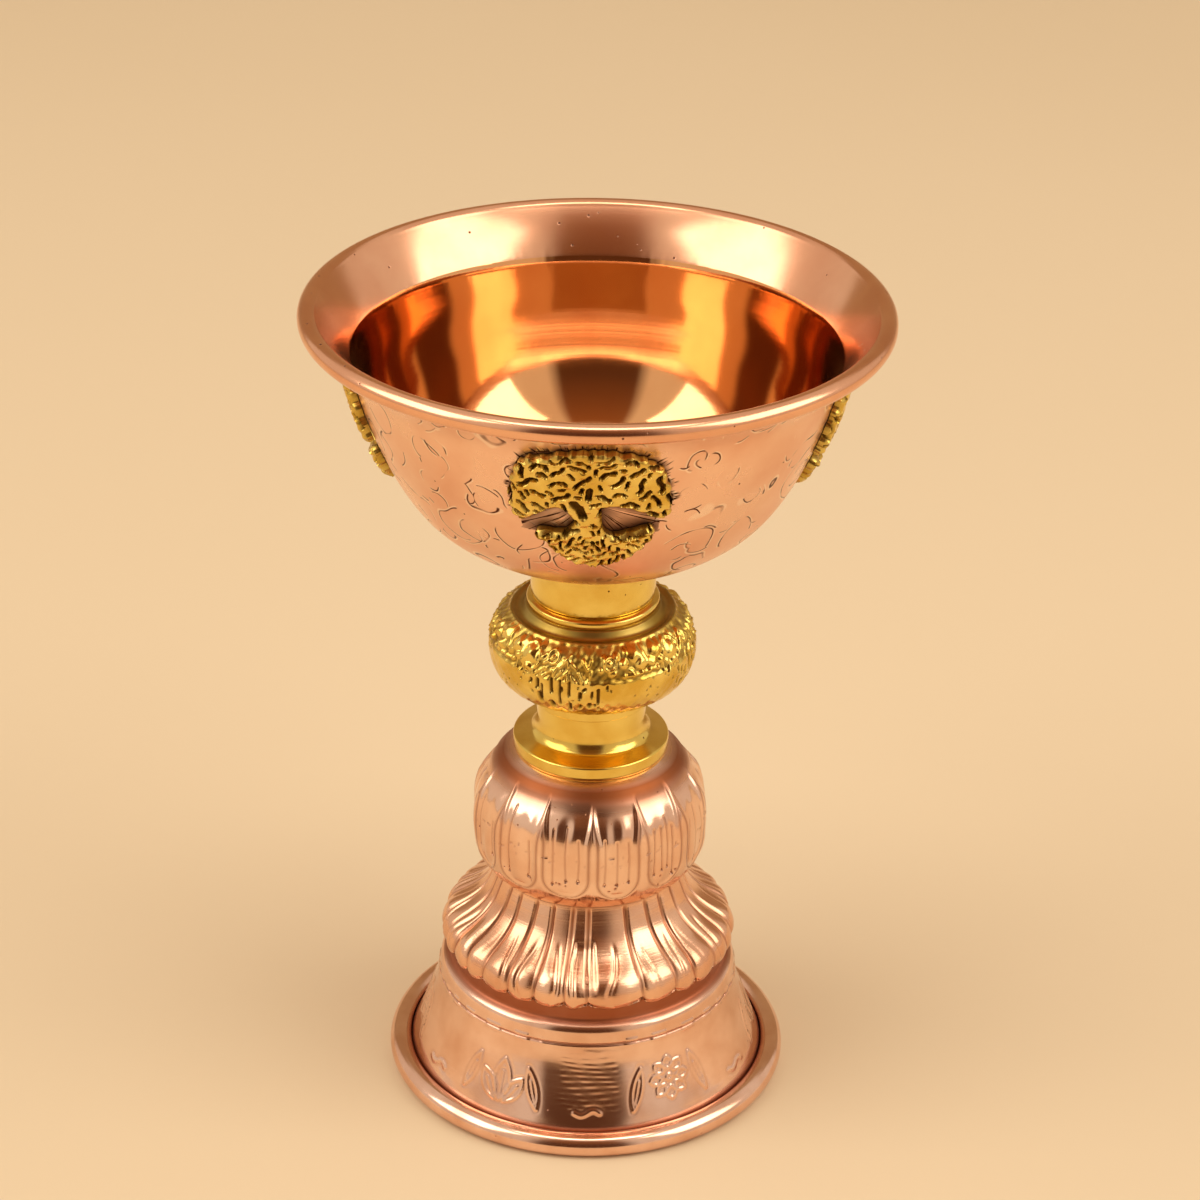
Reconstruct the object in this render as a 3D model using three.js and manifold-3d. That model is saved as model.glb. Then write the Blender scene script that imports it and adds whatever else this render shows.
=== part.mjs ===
// A stemmed copper ritual bowl. A raised copper bowl with a rolled rim carries four cast brass
// trees on its sides. It stands on a turned and cast brass stem, and that on a chased base of
// three copper pieces: a petalled dome, a fluted skirt and a flared foot. One tie rod, soldered
// into the upper collar, draws the stem down on the dome with a washer and nut inside.
// Millimetres, +Z up. The origin is the centre of the plane that the foot rests on.

import * as THREE from "three";
import { mergeVertices } from "three/addons/utils/BufferGeometryUtils.js";
import Module from "manifold-3d";

const wasm = await Module();
wasm.setup();

// Sheet and clearances
const bowlSheet = 0.8;
const baseSheet = 0.8;
const fitGap = 0.3;
const wireGap = 0.38;
const rodClearance = 0.3;

// Foot, from the resting plane up
const footRadius = 36.2;
const footBeadRadius = 2.3;
const footRestDepth = 0.25;
const footFlareAngle = 70;
const footLineHeight = 16.7;
const footBandSpread = 2.2;
const footLineDepth = 0.4;
const footLineWidth = 0.7;
const footBandHeight = 4;
const footNeckRadius = 25;
const footNeckHeight = 3.5;
const footNeckLap = 1.7;

// Skirt
const skirtOverhang = 1.4;
const skirtEdgeHeight = 1.2;
const skirtHeight = 15.8;
const skirtNeckLap = 2.2;
const skirtFlutes = 28;
const fluteDepth = 0.5;

// Dome
const domeRadius = 21.1;
const domeHeight = 23.4;
const domeMouthRadius = 16.8;
const domeRibs = 14;
const domeRibHeight = 0.45;

// Brass stem
const flangeRadius = 13.75;
const flangeEdge = 2.4;
const flangeRise = 0.9;
const lowerCollarRadius = 9.6;
const lowerCollarHeight = 6.4;
const lowerCollarFillet = 0.4;
const neckRingRadius = 10.2;
const neckRingHeight = 2.4;
const knopRadius = 18.1;
const knopHeight = 16.2;
const knopCoveRadius = 13.6;
const knopCoveDepth = 1.2;
const knopBosses = 16;
const knopBossDepth = 0.45;
const filletRingRadius = 11.6;
const filletRingHeight = 1.8;
const upperCollarRadius = 10.9;
const upperCollarHeight = 7.9;

// Tie rod, washer and nut
const rodRadius = 3;
const rodThreadDepth = 6;
const rodEndBelowNut = 2;
const washerRadius = 7;
const washerThickness = 1.2;
const nutAcrossFlats = 10;
const nutHeight = 5;

// Bowl
const rimRadius = 50;
const rimBeadRadius = 1.88;
const rimHeight = 44.2;
const lipAngle = 55;
const lipRun = 9.4;
const bowlRadius = 41;
const bowlWallHeight = 34.3;
const seatMargin = 0.4;

// Brass trees
const treeCount = 4;
const treeThickness = 1.7;
const treeHeight = 24.6;
const treeWidth = 25.8;
const treeDepthBelowRim = 17;

// Facets
const bowlFacets = 52;
const footFacets = 48;
const brassFacets = 32;
const rodFacets = 24;
const facetsPerRib = 6;
const facetsPerFlute = 4;
const facetsPerBoss = 4;
const wireFacets = 5;
const beadStep = 34;
const curlStep = 50;

const degree = Math.PI / 180;

const copper = { color: 0xd58a62, metalness: 1, roughness: 0.26 };
const brass = { color: 0xd8ac46, metalness: 1, roughness: 0.22 };
const castBrass = { color: 0xcba042, metalness: 1, roughness: 0.32 };
const steel = { color: 0xaeb0ae, metalness: 1, roughness: 0.4 };

const object = new THREE.Group();

function add(name, geometry, finish) {
  const mesh = new THREE.Mesh(geometry, new THREE.MeshStandardMaterial(finish));
  mesh.name = name;
  object.add(mesh);
}

// A point of a turned outline. Relief is how far a pattern moves it in or out.
function at(radius, height, relief = 0) {
  const point = new THREE.Vector2(radius, height);
  point.relief = relief;
  return point;
}

function onCircle(centre, radius, angle) {
  return at(centre.x + radius * Math.cos(angle * degree), centre.y + radius * Math.sin(angle * degree));
}

function arc(centre, radius, start, sweep, step) {
  const steps = Math.ceil(Math.abs(sweep) / step);
  const points = [];
  for (let i = 0; i <= steps; i += 1) {
    points.push(onCircle(centre, radius, start + (sweep * i) / steps));
  }
  return points;
}

// A smooth outline through a few points, with its relief blended along it
function smooth(points, steps) {
  const curve = new THREE.SplineCurve(points);
  const along = (share) => {
    const place = share * (points.length - 1);
    const low = Math.min(Math.floor(place), points.length - 2);
    const part = place - low;
    return points[low].relief * (1 - part) + points[low + 1].relief * part;
  };
  const result = [];
  for (let i = 0; i <= steps; i += 1) {
    const share = i / steps;
    const point = curve.getPoint(share);
    result.push(at(point.x, point.y, along(share)));
  }
  return result;
}

// The other face of a sheet whose outline runs up its outside, with every second point kept
function lining(points, sheet) {
  return innerFace(points, sheet).filter((_, i) => i % 2 === 1);
}

function innerFace(points, sheet) {
  return points.map((point, i) => {
    const before = points[Math.max(i - 1, 0)];
    const after = points[Math.min(i + 1, points.length - 1)];
    const direction = new THREE.Vector2().subVectors(after, before).normalize();
    return at(point.x - sheet * direction.y, point.y + sheet * direction.x, point.relief);
  });
}

// A geometry with shared vertices and no empty triangles
function weld(geometry) {
  geometry.deleteAttribute("normal");
  geometry.deleteAttribute("uv");
  const merged = mergeVertices(geometry, 1e-4);
  const from = merged.getIndex().array;
  const kept = [];
  for (let i = 0; i < from.length; i += 3) {
    const [a, b, c] = [from[i], from[i + 1], from[i + 2]];
    if (a !== b && b !== c && c !== a) {
      kept.push(a, b, c);
    }
  }
  merged.setIndex(kept);
  return merged;
}

// A turned piece. Its outline runs up the outside and down the inside, from axis to axis or
// back to its first point. A wave, from angle to share, moves each point by its relief.
function turned(outline, facets, wave = null) {
  const geometry = new THREE.LatheGeometry(outline, facets);
  if (wave) {
    const position = geometry.getAttribute("position");
    for (let i = 0; i < position.count; i += 1) {
      const x = position.getX(i);
      const z = position.getZ(i);
      const radius = Math.hypot(x, z);
      const share = (radius + outline[i % outline.length].relief * wave(Math.atan2(x, z))) / radius;
      position.setXYZ(i, x * share, position.getY(i), z * share);
    }
  }
  geometry.rotateX(90 * degree);
  return weld(geometry);
}

function closed(outline) {
  return [...outline, outline[0]];
}

function ring(innerRadius, outerRadius, low, high, facets) {
  return turned(
    closed([at(innerRadius, low), at(outerRadius, low), at(outerRadius, high), at(innerRadius, high)]),
    facets,
  );
}

function toSolid(geometry) {
  return new wasm.Manifold(new wasm.Mesh({
    numProp: 3,
    vertProperties: new Float32Array(geometry.getAttribute("position").array),
    triVerts: new Uint32Array(geometry.getIndex().array),
  }));
}

function fromSolid(solid) {
  const mesh = solid.getMesh();
  const geometry = new THREE.BufferGeometry();
  geometry.setAttribute("position", new THREE.BufferAttribute(mesh.vertProperties, 3));
  geometry.setIndex(new THREE.BufferAttribute(mesh.triVerts, 1));
  return geometry;
}

// The sweep of an edge rolled round its wire until it stands a gap off its own sheet
function rollSweep(beadRadius, sheet) {
  const inside = beadRadius - sheet;
  return 360 - Math.acos((inside - fitGap) / beadRadius) / degree;
}

// Foot: a spun cone whose edge is rolled out, under and up round a wire, and dressed flat
// where it stands. A chased line and a plain band lie under the neck that enters the skirt.
const footBead = at(footRadius - footBeadRadius, footBeadRadius - footRestDepth);
const footRoll = rollSweep(footBeadRadius, baseSheet);
const footRollStart = -90 - footFlareAngle;
const footRestSpread = Math.acos(footBead.y / footBeadRadius) / degree;
const footNeckLow = footLineHeight + footLineWidth + footBandHeight;
const skirtLow = footNeckLow + footNeckHeight;
const footTop = skirtLow + footNeckLap;
const footLineRadius = footNeckRadius + footBandSpread;
const flareEnd = onCircle(footBead, footBeadRadius - baseSheet, footRollStart);
const flareRun = (footLineHeight - flareEnd.y) / 3;
const flare = smooth([
  flareEnd,
  at(flareEnd.x - flareRun / Math.tan(footFlareAngle * degree), flareEnd.y + flareRun),
  at((flareEnd.x + 2 * footLineRadius) / 3, flareEnd.y + 2 * flareRun),
  at(footLineRadius, footLineHeight),
], 4);
const footBand = [
  at(footLineRadius, footLineHeight + footLineWidth),
  at((3 * footLineRadius + footNeckRadius) / 4, footLineHeight + footLineWidth + footBandHeight / 2),
  at(footNeckRadius, footNeckLow),
  at(footNeckRadius, footTop),
];
const footLine = at(footLineRadius - footLineDepth, footLineHeight + footLineWidth / 2);
const footOutline = closed([
  ...arc(footBead, footBeadRadius, footRollStart, footFlareAngle - footRestSpread, beadStep),
  ...arc(
    footBead, footBeadRadius, footRestSpread - 90, footRoll - footFlareAngle - footRestSpread, beadStep,
  ),
  ...arc(
    footBead, footBeadRadius - baseSheet, footRollStart + footRoll, -footRoll, curlStep,
  ),
  ...flare.slice(1),
  footLine,
  ...footBand,
  at(footNeckRadius - baseSheet, footTop),
  ...lining([...flare, ...footBand], baseSheet).reverse(),
]);
add("foot", turned(footOutline, footFacets), copper);

const footWireRadius = footBeadRadius - baseSheet - wireGap;
const footWire = new THREE.TorusGeometry(footBead.x, footWireRadius, wireFacets, footFacets);
footWire.translate(0, 0, footBead.y);
add("foot_wire", weld(footWire), steel);

// Skirt: a flared collar, chased in flutes that swell into lobes over its lower edge
const skirtTop = skirtLow + skirtHeight;
const skirtNeckRadius = domeMouthRadius - fitGap;
const skirtInside = footNeckRadius + fitGap;
const skirtRadius = footNeckRadius + skirtOverhang;
const skirtSide = (across, up, relief) => at(
  skirtNeckRadius + (skirtRadius - skirtNeckRadius) * across,
  skirtLow + skirtHeight * up,
  fluteDepth * relief,
);
const skirtFlare = smooth([
  at(skirtRadius - skirtOverhang / 4, skirtLow + skirtEdgeHeight / 6, fluteDepth),
  at(skirtRadius, skirtLow + skirtEdgeHeight, fluteDepth),
  skirtSide(0.99, 0.184, 1),
  skirtSide(0.889, 0.304, 1),
  skirtSide(0.657, 0.411, 1),
  skirtSide(0.374, 0.538, 0.8),
  skirtSide(0.192, 0.677, 0.6),
  skirtSide(0.081, 0.842, 0.4),
  skirtSide(0, 1, 0),
], 9);
const skirtNeck = at(skirtNeckRadius, skirtTop + skirtNeckLap);
const skirtLining = lining(skirtFlare, baseSheet)
  .filter((point) => point.y > footTop + fitGap && point.x < skirtInside);
const skirtOutline = closed([
  at(skirtInside, skirtLow),
  ...skirtFlare,
  skirtNeck,
  at(skirtNeckRadius - baseSheet, skirtNeck.y),
  at(skirtNeckRadius - baseSheet, skirtTop),
  ...skirtLining.reverse(),
  at(skirtInside, footTop + fitGap),
]);
const flutes = (angle) => Math.abs(Math.cos((skirtFlutes * angle) / 2)) - 1;
add("skirt", turned(skirtOutline, skirtFlutes * facetsPerFlute, flutes), copper);

// Dome: a spun cup, mouth down over the skirt's neck, chased with ribs between its petals
const domeLow = skirtTop + fitGap;
const domeTop = domeLow + domeHeight;
const domeCrown = flangeRadius + seatMargin;
const domeSide = (across, up, relief) => at(
  domeCrown + (domeRadius - domeCrown) * across,
  domeLow + domeHeight * up,
  domeRibHeight * relief,
);
const domeWall = [
  ...smooth([
    at(domeMouthRadius + baseSheet, domeLow),
    domeSide(0.76, 0.081, 0.4),
    domeSide(1, 0.316, 1),
  ], 3),
  ...smooth([
    domeSide(1, 0.521, 1),
    domeSide(0.85, 0.692, 1),
    domeSide(0.51, 0.833, 0.7),
    domeSide(0.2, 0.9615, 0),
    domeSide(0, 1, 0),
  ], 5),
];
const rodBore = rodRadius + rodClearance;
const domeOutline = closed([
  at(domeMouthRadius, domeLow),
  ...domeWall,
  at(rodBore, domeTop),
  at(rodBore, domeTop - baseSheet),
  at(domeCrown - baseSheet / 2, domeTop - baseSheet),
  ...lining(domeWall, baseSheet).reverse(),
]);
const ribs = (angle) => Math.max(0, 1 - Math.abs(Math.sin((domeRibs * angle) / 2)) * 2);
add("dome", turned(domeOutline, domeRibs * facetsPerRib, ribs), copper);

// Lower collar: turned brass with a sloped flange that seats on the dome
const flangeTop = domeTop + flangeEdge + flangeRise;
const lowerCollarTop = flangeTop + lowerCollarHeight;
add("lower_collar", turned(closed([
  at(rodBore, domeTop),
  at(flangeRadius, domeTop),
  at(flangeRadius, domeTop + flangeEdge),
  at(lowerCollarRadius + lowerCollarFillet, flangeTop),
  at(lowerCollarRadius, flangeTop + lowerCollarFillet),
  at(lowerCollarRadius, lowerCollarTop),
  at(rodBore, lowerCollarTop),
]), brassFacets), brass);

const neckRingTop = lowerCollarTop + neckRingHeight;
add("neck_ring", ring(rodBore, neckRingRadius, lowerCollarTop, neckRingTop, brassFacets), brass);

// Knop: cast brass with bosses round its upper half and a plain cove under the ring above
const knopTop = neckRingTop + knopHeight;
const knopSide = (across, up, relief) => at(
  neckRingRadius + (knopRadius - neckRingRadius) * across,
  neckRingTop + knopHeight * up,
  knopBossDepth * relief,
);
const knopOutline = closed([
  at(rodBore, neckRingTop),
  ...smooth([
    knopSide(0, 0, 0),
    knopSide(0.34, 0.05, 0),
    knopSide(0.76, 0.18, 0.4),
    knopSide(0.96, 0.36, 0.4),
    knopSide(1, 0.55, 0.4),
    knopSide(0.9, 0.72, 1),
    knopSide(0.75, 0.84, 1),
    knopSide(0.56, 0.92, 0.6),
    at(knopCoveRadius, knopTop - knopCoveDepth),
  ], 10),
  at(filletRingRadius + seatMargin, knopTop),
  at(rodBore, knopTop),
]);
const bosses = (angle) => Math.abs(Math.cos((knopBosses * angle) / 2)) - 1;
add("knop", turned(knopOutline, knopBosses * facetsPerBoss, bosses), castBrass);

const filletRingTop = knopTop + filletRingHeight;
add("fillet_ring", ring(rodBore, filletRingRadius, knopTop, filletRingTop, brassFacets), brass);

// Upper collar: turned brass under the bowl, with a blind hole that holds the rod's end
const bowlLow = filletRingTop + upperCollarHeight;
const rodTop = filletRingTop + rodThreadDepth;
add("upper_collar", turned([
  at(0, rodTop + rodClearance),
  at(rodBore, rodTop + rodClearance),
  at(rodBore, filletRingTop),
  at(upperCollarRadius, filletRingTop),
  at(upperCollarRadius, bowlLow),
  at(0, bowlLow),
], brassFacets), brass);

// Tie rod with its washer and nut, under the dome's crown
const washerLow = domeTop - baseSheet - washerThickness;
const nutLow = washerLow - nutHeight;
const rodLow = nutLow - rodEndBelowNut;
add("tie_rod", turned([
  at(0, rodLow),
  at(rodRadius, rodLow),
  at(rodRadius, rodTop),
  at(0, rodTop),
], rodFacets), steel);
add("washer", ring(rodBore, washerRadius, washerLow, washerLow + washerThickness, rodFacets), steel);

const nutCorner = nutAcrossFlats / 2 / Math.cos(30 * degree);
const nutCorners = [0, 60, 120, 180, 240, 300].map((angle) => onCircle(at(0, 0), nutCorner, angle));
const nutShape = new THREE.Shape(nutCorners);
nutShape.holes.push(new THREE.Path().absarc(0, 0, rodBore, 0, 360 * degree, true));
const nut = new THREE.ExtrudeGeometry(nutShape, {
  depth: nutHeight,
  bevelEnabled: false,
  curveSegments: rodFacets / 2,
});
nut.translate(0, 0, nutLow);
add("nut", weld(nut), steel);

// Bowl: raised sheet with a flat seat, a curved wall, a lip that opens out, and an edge rolled
// over and down round a wire
const rimBead = at(rimRadius - rimBeadRadius, bowlLow + rimHeight);
const rimRoll = rollSweep(rimBeadRadius, bowlSheet);
const rimRollStart = 90 + lipAngle;
const lipEnd = onCircle(rimBead, rimBeadRadius - bowlSheet, rimRollStart);
const lipStart = at(
  lipEnd.x - lipRun * Math.cos(lipAngle * degree),
  lipEnd.y - lipRun * Math.sin(lipAngle * degree),
);
const seatRadius = upperCollarRadius + seatMargin;
const wallPoint = (across, up) => at(
  seatRadius + (bowlRadius - seatRadius) * across,
  bowlLow + bowlWallHeight * up,
);
const bowlWall = smooth([
  wallPoint(0, 0),
  wallPoint(0.279, 0.102),
  wallPoint(0.468, 0.195),
  wallPoint(0.613, 0.297),
  wallPoint(0.727, 0.426),
  wallPoint(0.811, 0.557),
  wallPoint(0.886, 0.703),
  wallPoint(0.953, 0.863),
  wallPoint(1, 1),
  lipStart,
], 11);
const bowlOutside = [...bowlWall, lipEnd];
const bowlInside = lining(bowlOutside, bowlSheet).reverse();
const bowlOutline = [
  at(0, bowlLow),
  ...bowlWall,
  ...arc(rimBead, rimBeadRadius - bowlSheet, rimRollStart, -rimRoll, curlStep),
  ...arc(rimBead, rimBeadRadius, rimRollStart - rimRoll, rimRoll, beadStep),
  ...bowlInside,
  at(seatRadius, bowlLow + bowlSheet),
  at(0, bowlLow + bowlSheet),
];
add("bowl", turned(bowlOutline, bowlFacets), copper);

const rimWireRadius = rimBeadRadius - bowlSheet - wireGap;
const rimWire = new THREE.TorusGeometry(rimBead.x, rimWireRadius, wireFacets, bowlFacets);
rimWire.translate(0, 0, rimBead.y);
add("rim_wire", weld(rimWire), steel);

// Trees: flat castings bent to the wall. Half of the outline, from the top of the crown down
// the right side to the lowest root, as shares of half the width and of the height.
const treeHalf = [
  [0, 0.5], [0.43, 0.46], [0.79, 0.37], [0.96, 0.22], [1, 0.07], [0.95, -0.05], [0.82, -0.09],
  [0.64, -0.02], [0.36, 0.045], [0.17, 0.02], [0.155, -0.1], [0.28, -0.195], [0.73, -0.16],
  [0.77, -0.22], [0.58, -0.35], [0.33, -0.455], [0, -0.5],
];
const treeHeightAt = rimBead.y - treeDepthBelowRim;
const treeRight = treeHalf.map(([across, up]) => at((across * treeWidth) / 2, up * treeHeight));
const treeLeft = treeRight.slice(1, -1).reverse().map((point) => at(-point.x, point.y));
const treeShape = new THREE.Shape([...treeRight, ...treeLeft].reverse());
const treeBody = new THREE.ExtrudeGeometry(treeShape, { depth: rimRadius, bevelEnabled: false });
treeBody.rotateX(90 * degree);
treeBody.translate(0, 0, treeHeightAt);
const treeSide = bowlOutside.map((point) => point.clone());
const treeBand = closed([
  ...innerFace(treeSide, -fitGap - treeThickness),
  ...innerFace(treeSide, -fitGap).reverse(),
]);
const treeSolid = toSolid(turned(treeBand, bowlFacets)).intersect(toSolid(weld(treeBody)));
["front", "right", "back", "left"].forEach((side, index) => {
  const tree = fromSolid(treeSolid);
  tree.rotateZ((360 * degree * index) / treeCount);
  add(`tree_${side}`, tree, castBrass);
});

export default object;
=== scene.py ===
"""A stemmed copper ritual bowl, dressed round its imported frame. Lengths are millimetres unless said."""

import math

import bmesh
import bpy
import numpy as np
from mathutils import Matrix, Vector


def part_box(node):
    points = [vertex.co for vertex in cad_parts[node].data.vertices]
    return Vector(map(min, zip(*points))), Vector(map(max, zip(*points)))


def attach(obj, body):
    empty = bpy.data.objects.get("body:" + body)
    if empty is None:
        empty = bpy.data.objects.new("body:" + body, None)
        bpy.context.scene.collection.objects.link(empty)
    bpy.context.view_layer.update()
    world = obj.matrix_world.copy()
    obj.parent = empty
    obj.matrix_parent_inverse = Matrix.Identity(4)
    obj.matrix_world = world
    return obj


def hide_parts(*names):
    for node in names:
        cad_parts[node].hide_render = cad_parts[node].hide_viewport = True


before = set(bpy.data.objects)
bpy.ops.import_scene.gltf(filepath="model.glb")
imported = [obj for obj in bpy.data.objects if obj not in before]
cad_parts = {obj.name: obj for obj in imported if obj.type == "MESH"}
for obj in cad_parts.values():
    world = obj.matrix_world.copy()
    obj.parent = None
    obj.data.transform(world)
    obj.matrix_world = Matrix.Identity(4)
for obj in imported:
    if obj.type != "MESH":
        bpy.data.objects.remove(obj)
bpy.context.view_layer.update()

# Camera
# The eye is 0.6 m off, 27.5 degrees above the level and one degree to the right of the front
# tree. Its long lens holds the whole bowl, tipped one degree as the photograph is.
MM = 0.001
EYE_DISTANCE = 602.1
EYE_ABOVE = math.radians(27.54)
EYE_ASIDE = math.radians(1.0)
EYE_TIP = math.radians(1.0)
AIM_HEIGHT = 92.8
AIM_ASIDE = 1.2
SENSOR = 36.0
LENS = 104.07

ahead = Vector((0.0, math.cos(EYE_ABOVE), -math.sin(EYE_ABOVE)))
sideways = Vector((1.0, 0.0, 0.0))
upward = sideways.cross(ahead)
across = sideways * math.cos(EYE_TIP) + upward * math.sin(EYE_TIP)
upright = upward * math.cos(EYE_TIP) - sideways * math.sin(EYE_TIP)
eye = Vector((AIM_ASIDE, 0.0, AIM_HEIGHT)) - ahead * EYE_DISTANCE
camera = bpy.data.objects.new("camera", bpy.data.cameras.new("camera"))
camera.data.lens = LENS
camera.data.sensor_width = SENSOR
camera.data.clip_start = 0.01
turn = Matrix((across, upright, -ahead)).transposed().to_4x4()
camera.matrix_world = Matrix.Rotation(EYE_ASIDE, 4, "Z") @ Matrix.Translation(eye * MM) @ turn
bpy.context.scene.collection.objects.link(camera)
bpy.context.scene.camera = camera

# Floor and light
# A pale sweep of sand-coloured paper, a broad softbox on either side and a narrow one overhead.
# The room is pale and warm, with a dark doorway behind the eye that polished metal shows.


def linear(colour):
    """An sRGB hex colour as linear RGBA."""
    parts = [int(colour[i:i + 2], 16) / 255 for i in (1, 3, 5)]
    return [p / 12.92 if p <= 0.04045 else ((p + 0.055) / 1.055) ** 2.4 for p in parts] + [1.0]


def put(tree, kind, inputs=None, **settings):
    """Adds one node. Inputs are by socket name or place, and hold a value or another node's output."""
    made = tree.nodes.new("ShaderNode" + kind)
    for key, value in settings.items():
        setattr(made, key, value)
    for key, value in (inputs or {}).items():
        if isinstance(value, bpy.types.NodeSocket):
            tree.links.new(value, made.inputs[key])
        else:
            made.inputs[key].default_value = value
    return made


def feed(shader, name, output):
    """Links an output to one of a shader's inputs."""
    shader.id_data.links.new(output, shader.inputs[name])


def new_material(name):
    """An empty material."""
    material = bpy.data.materials.new(name)
    material.use_nodes = True
    return material


def shading(material):
    """A material's node tree and its shader."""
    return material.node_tree, material.node_tree.nodes["Principled BSDF"]


# Heavy paper: a faint uneven tone and no shine
PAPER_REACH = 3.0
PAPER_BEND = 0.6
PAPER_ROUGH = 0.8
paper = new_material("sand_paper_sweep")
tree, shader = shading(paper)
grain = put(tree, "TexNoise", {"Scale": 9.0, "Detail": 3.0}).outputs["Fac"]
tone = put(tree, "Mix", {0: grain, 6: linear("#E6D3B4"), 7: linear("#DFCAA7")}, data_type="RGBA")
feed(shader, "Base Color", tone.outputs[2])
shader.inputs["Roughness"].default_value = PAPER_ROUGH
bend = [(PAPER_REACH - PAPER_BEND + PAPER_BEND * math.sin(t), PAPER_BEND - PAPER_BEND * math.cos(t))
        for t in np.linspace(0, math.pi / 2, 16)]
sweep = [(-PAPER_REACH, 0.0)] + bend + [(PAPER_REACH, PAPER_REACH)]
corners = [(x, y, z) for y, z in sweep for x in (-PAPER_REACH, PAPER_REACH)]
faces = [(2 * i, 2 * i + 1, 2 * i + 3, 2 * i + 2) for i in range(len(sweep) - 1)]
mesh = bpy.data.meshes.new("floor")
mesh.from_pydata(corners, [], faces)
mesh.materials.append(paper)
mesh.shade_smooth()
floor = bpy.data.objects.new("floor", mesh)
floor.location.z = -0.02 * MM
bpy.context.scene.collection.objects.link(floor)


def softbox(name, azimuth, elevation, distance, width, height, radiance, colour):
    """A rectangular light that faces the bowl, azimuth counted from the front towards the right."""
    lamp = bpy.data.lights.new(name, "AREA")
    lamp.shape = "RECTANGLE"
    lamp.size, lamp.size_y = width, height
    lamp.energy = radiance * math.pi * width * height
    lamp.color = linear(colour)[:3]
    a, e = math.radians(azimuth), math.radians(elevation)
    out = Vector((math.sin(a) * math.cos(e), -math.cos(a) * math.cos(e), math.sin(e)))
    light = bpy.data.objects.new(name, lamp)
    light.location = out * distance + Vector((0, 0, 0.1))
    light.rotation_mode = "QUATERNION"
    light.rotation_quaternion = out.to_track_quat("Z", "Y")
    bpy.context.scene.collection.objects.link(light)


SIDE_LIGHT = dict(elevation=38, distance=1.3, width=0.95, height=0.9, radiance=2.5, colour="#FFF6EA")
softbox("softbox_left", -74, **SIDE_LIGHT)
softbox("softbox_right", 74, **SIDE_LIGHT)
softbox("softbox_top", 0, elevation=80, distance=1.4, width=1.1, height=0.28, radiance=4.0, colour="#FFF4E6")

# The doorway is darkest low down, and its edges are soft
DOOR_HALF_WIDE = 0.46
DOOR_SOFT = 0.07
DOOR_TOP = 0.86
DOOR_DARK_TO = 0.42
world = bpy.data.worlds.new("studio")
world.use_nodes = True
room = world.node_tree
toward = put(room, "SeparateXYZ", {0: put(room, "TexCoord").outputs["Generated"]}).outputs
front = put(room, "Math", {0: toward[1], 1: -1.0}, operation="MULTIPLY").outputs[0]
bearing = put(room, "Math", {0: toward[0], 1: front}, operation="ARCTAN2").outputs[0]
aside = put(room, "Math", {0: bearing}, operation="ABSOLUTE").outputs[0]
beside = put(room, "MapRange", {0: aside, 1: DOOR_HALF_WIDE - DOOR_SOFT, 2: DOOR_HALF_WIDE + DOOR_SOFT,
                                3: 1.0, 4: 0.0}).outputs[0]
below = put(room, "MapRange", {0: toward[2], 1: DOOR_TOP, 2: DOOR_TOP + DOOR_SOFT, 3: 1.0, 4: 0.0}).outputs[0]
door = put(room, "Math", {0: beside, 1: below}, operation="MULTIPLY").outputs[0]
rise = put(room, "MapRange", {0: toward[2], 1: DOOR_DARK_TO, 2: DOOR_TOP}).outputs[0]
beyond = put(room, "Mix", {0: rise, 6: linear("#5A3A26"), 7: linear("#905E38")}, data_type="RGBA")
walls = put(room, "Mix", {0: door, 6: linear("#DFCDB8"), 7: beyond.outputs[2]}, data_type="RGBA")
background = room.nodes["Background"]
feed(background, "Color", walls.outputs[2])
background.inputs["Strength"].default_value = 1.0
bpy.context.scene.world = world
bpy.context.scene.view_settings.view_transform = "Standard"

# Bowl
# Raised from 0.8 mm copper sheet over a flat seat. The inside is spun to a mirror, the outside
# is left satin with chased lines, and the rim is rolled over and down round a wire.
SHEET = 0.8
BOWL_AROUND = 720
RIM_BEAD = 1.7
ROLL_GAP = 0.3
LIP_ANGLE = 53.6
LIP_RUN = 9.66
LIP_CORNER = 0.9
LIP_BOW = 0.3
SEAT_RADIUS = 11.3
SEAT_CORNER = 3.0
WALL_RADIUS = 41.0
WALL_HEIGHT = 34.3
WALL_SHAPE = [(0, 0), (0.279, 0.102), (0.468, 0.195), (0.613, 0.297), (0.727, 0.426), (0.811, 0.557),
              (0.886, 0.703), (0.958, 0.863), (1.002, 1)]
CHATTER = 0.007
CHATTER_REACH = 1.6
SEAT_STEPS = 12
WALL_STEPS = 130
LIP_STEPS = 24
CORNER_STEPS = 15
BEAD_STEPS = 44


def curve_through(points, count):
    """A natural cubic spline through points, as count points evenly along it."""
    points = np.array(points, float)
    place = np.r_[0, np.cumsum(np.hypot(*np.diff(points, axis=0).T))]
    gap = np.diff(place)
    system = np.eye(len(points))
    right = np.zeros((len(points), 2))
    for k in range(1, len(points) - 1):
        system[k, k - 1:k + 2] = gap[k - 1], 2 * (gap[k - 1] + gap[k]), gap[k]
        slopes = np.diff(points[k - 1:k + 2], axis=0) / gap[k - 1:k + 1, None]
        right[k] = 6 * (slopes[1] - slopes[0])
    bending = np.linalg.solve(system, right)
    at = np.linspace(0, place[-1], count)
    k = np.clip(np.searchsorted(place, at, "right") - 1, 0, len(gap) - 1)
    b = ((at - place[k]) / gap[k])[:, None]
    a = 1 - b
    bow = (a ** 3 - a) * bending[k] + (b ** 3 - b) * bending[k + 1]
    return a * points[k] + b * points[k + 1] + bow * gap[k, None] ** 2 / 6


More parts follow.
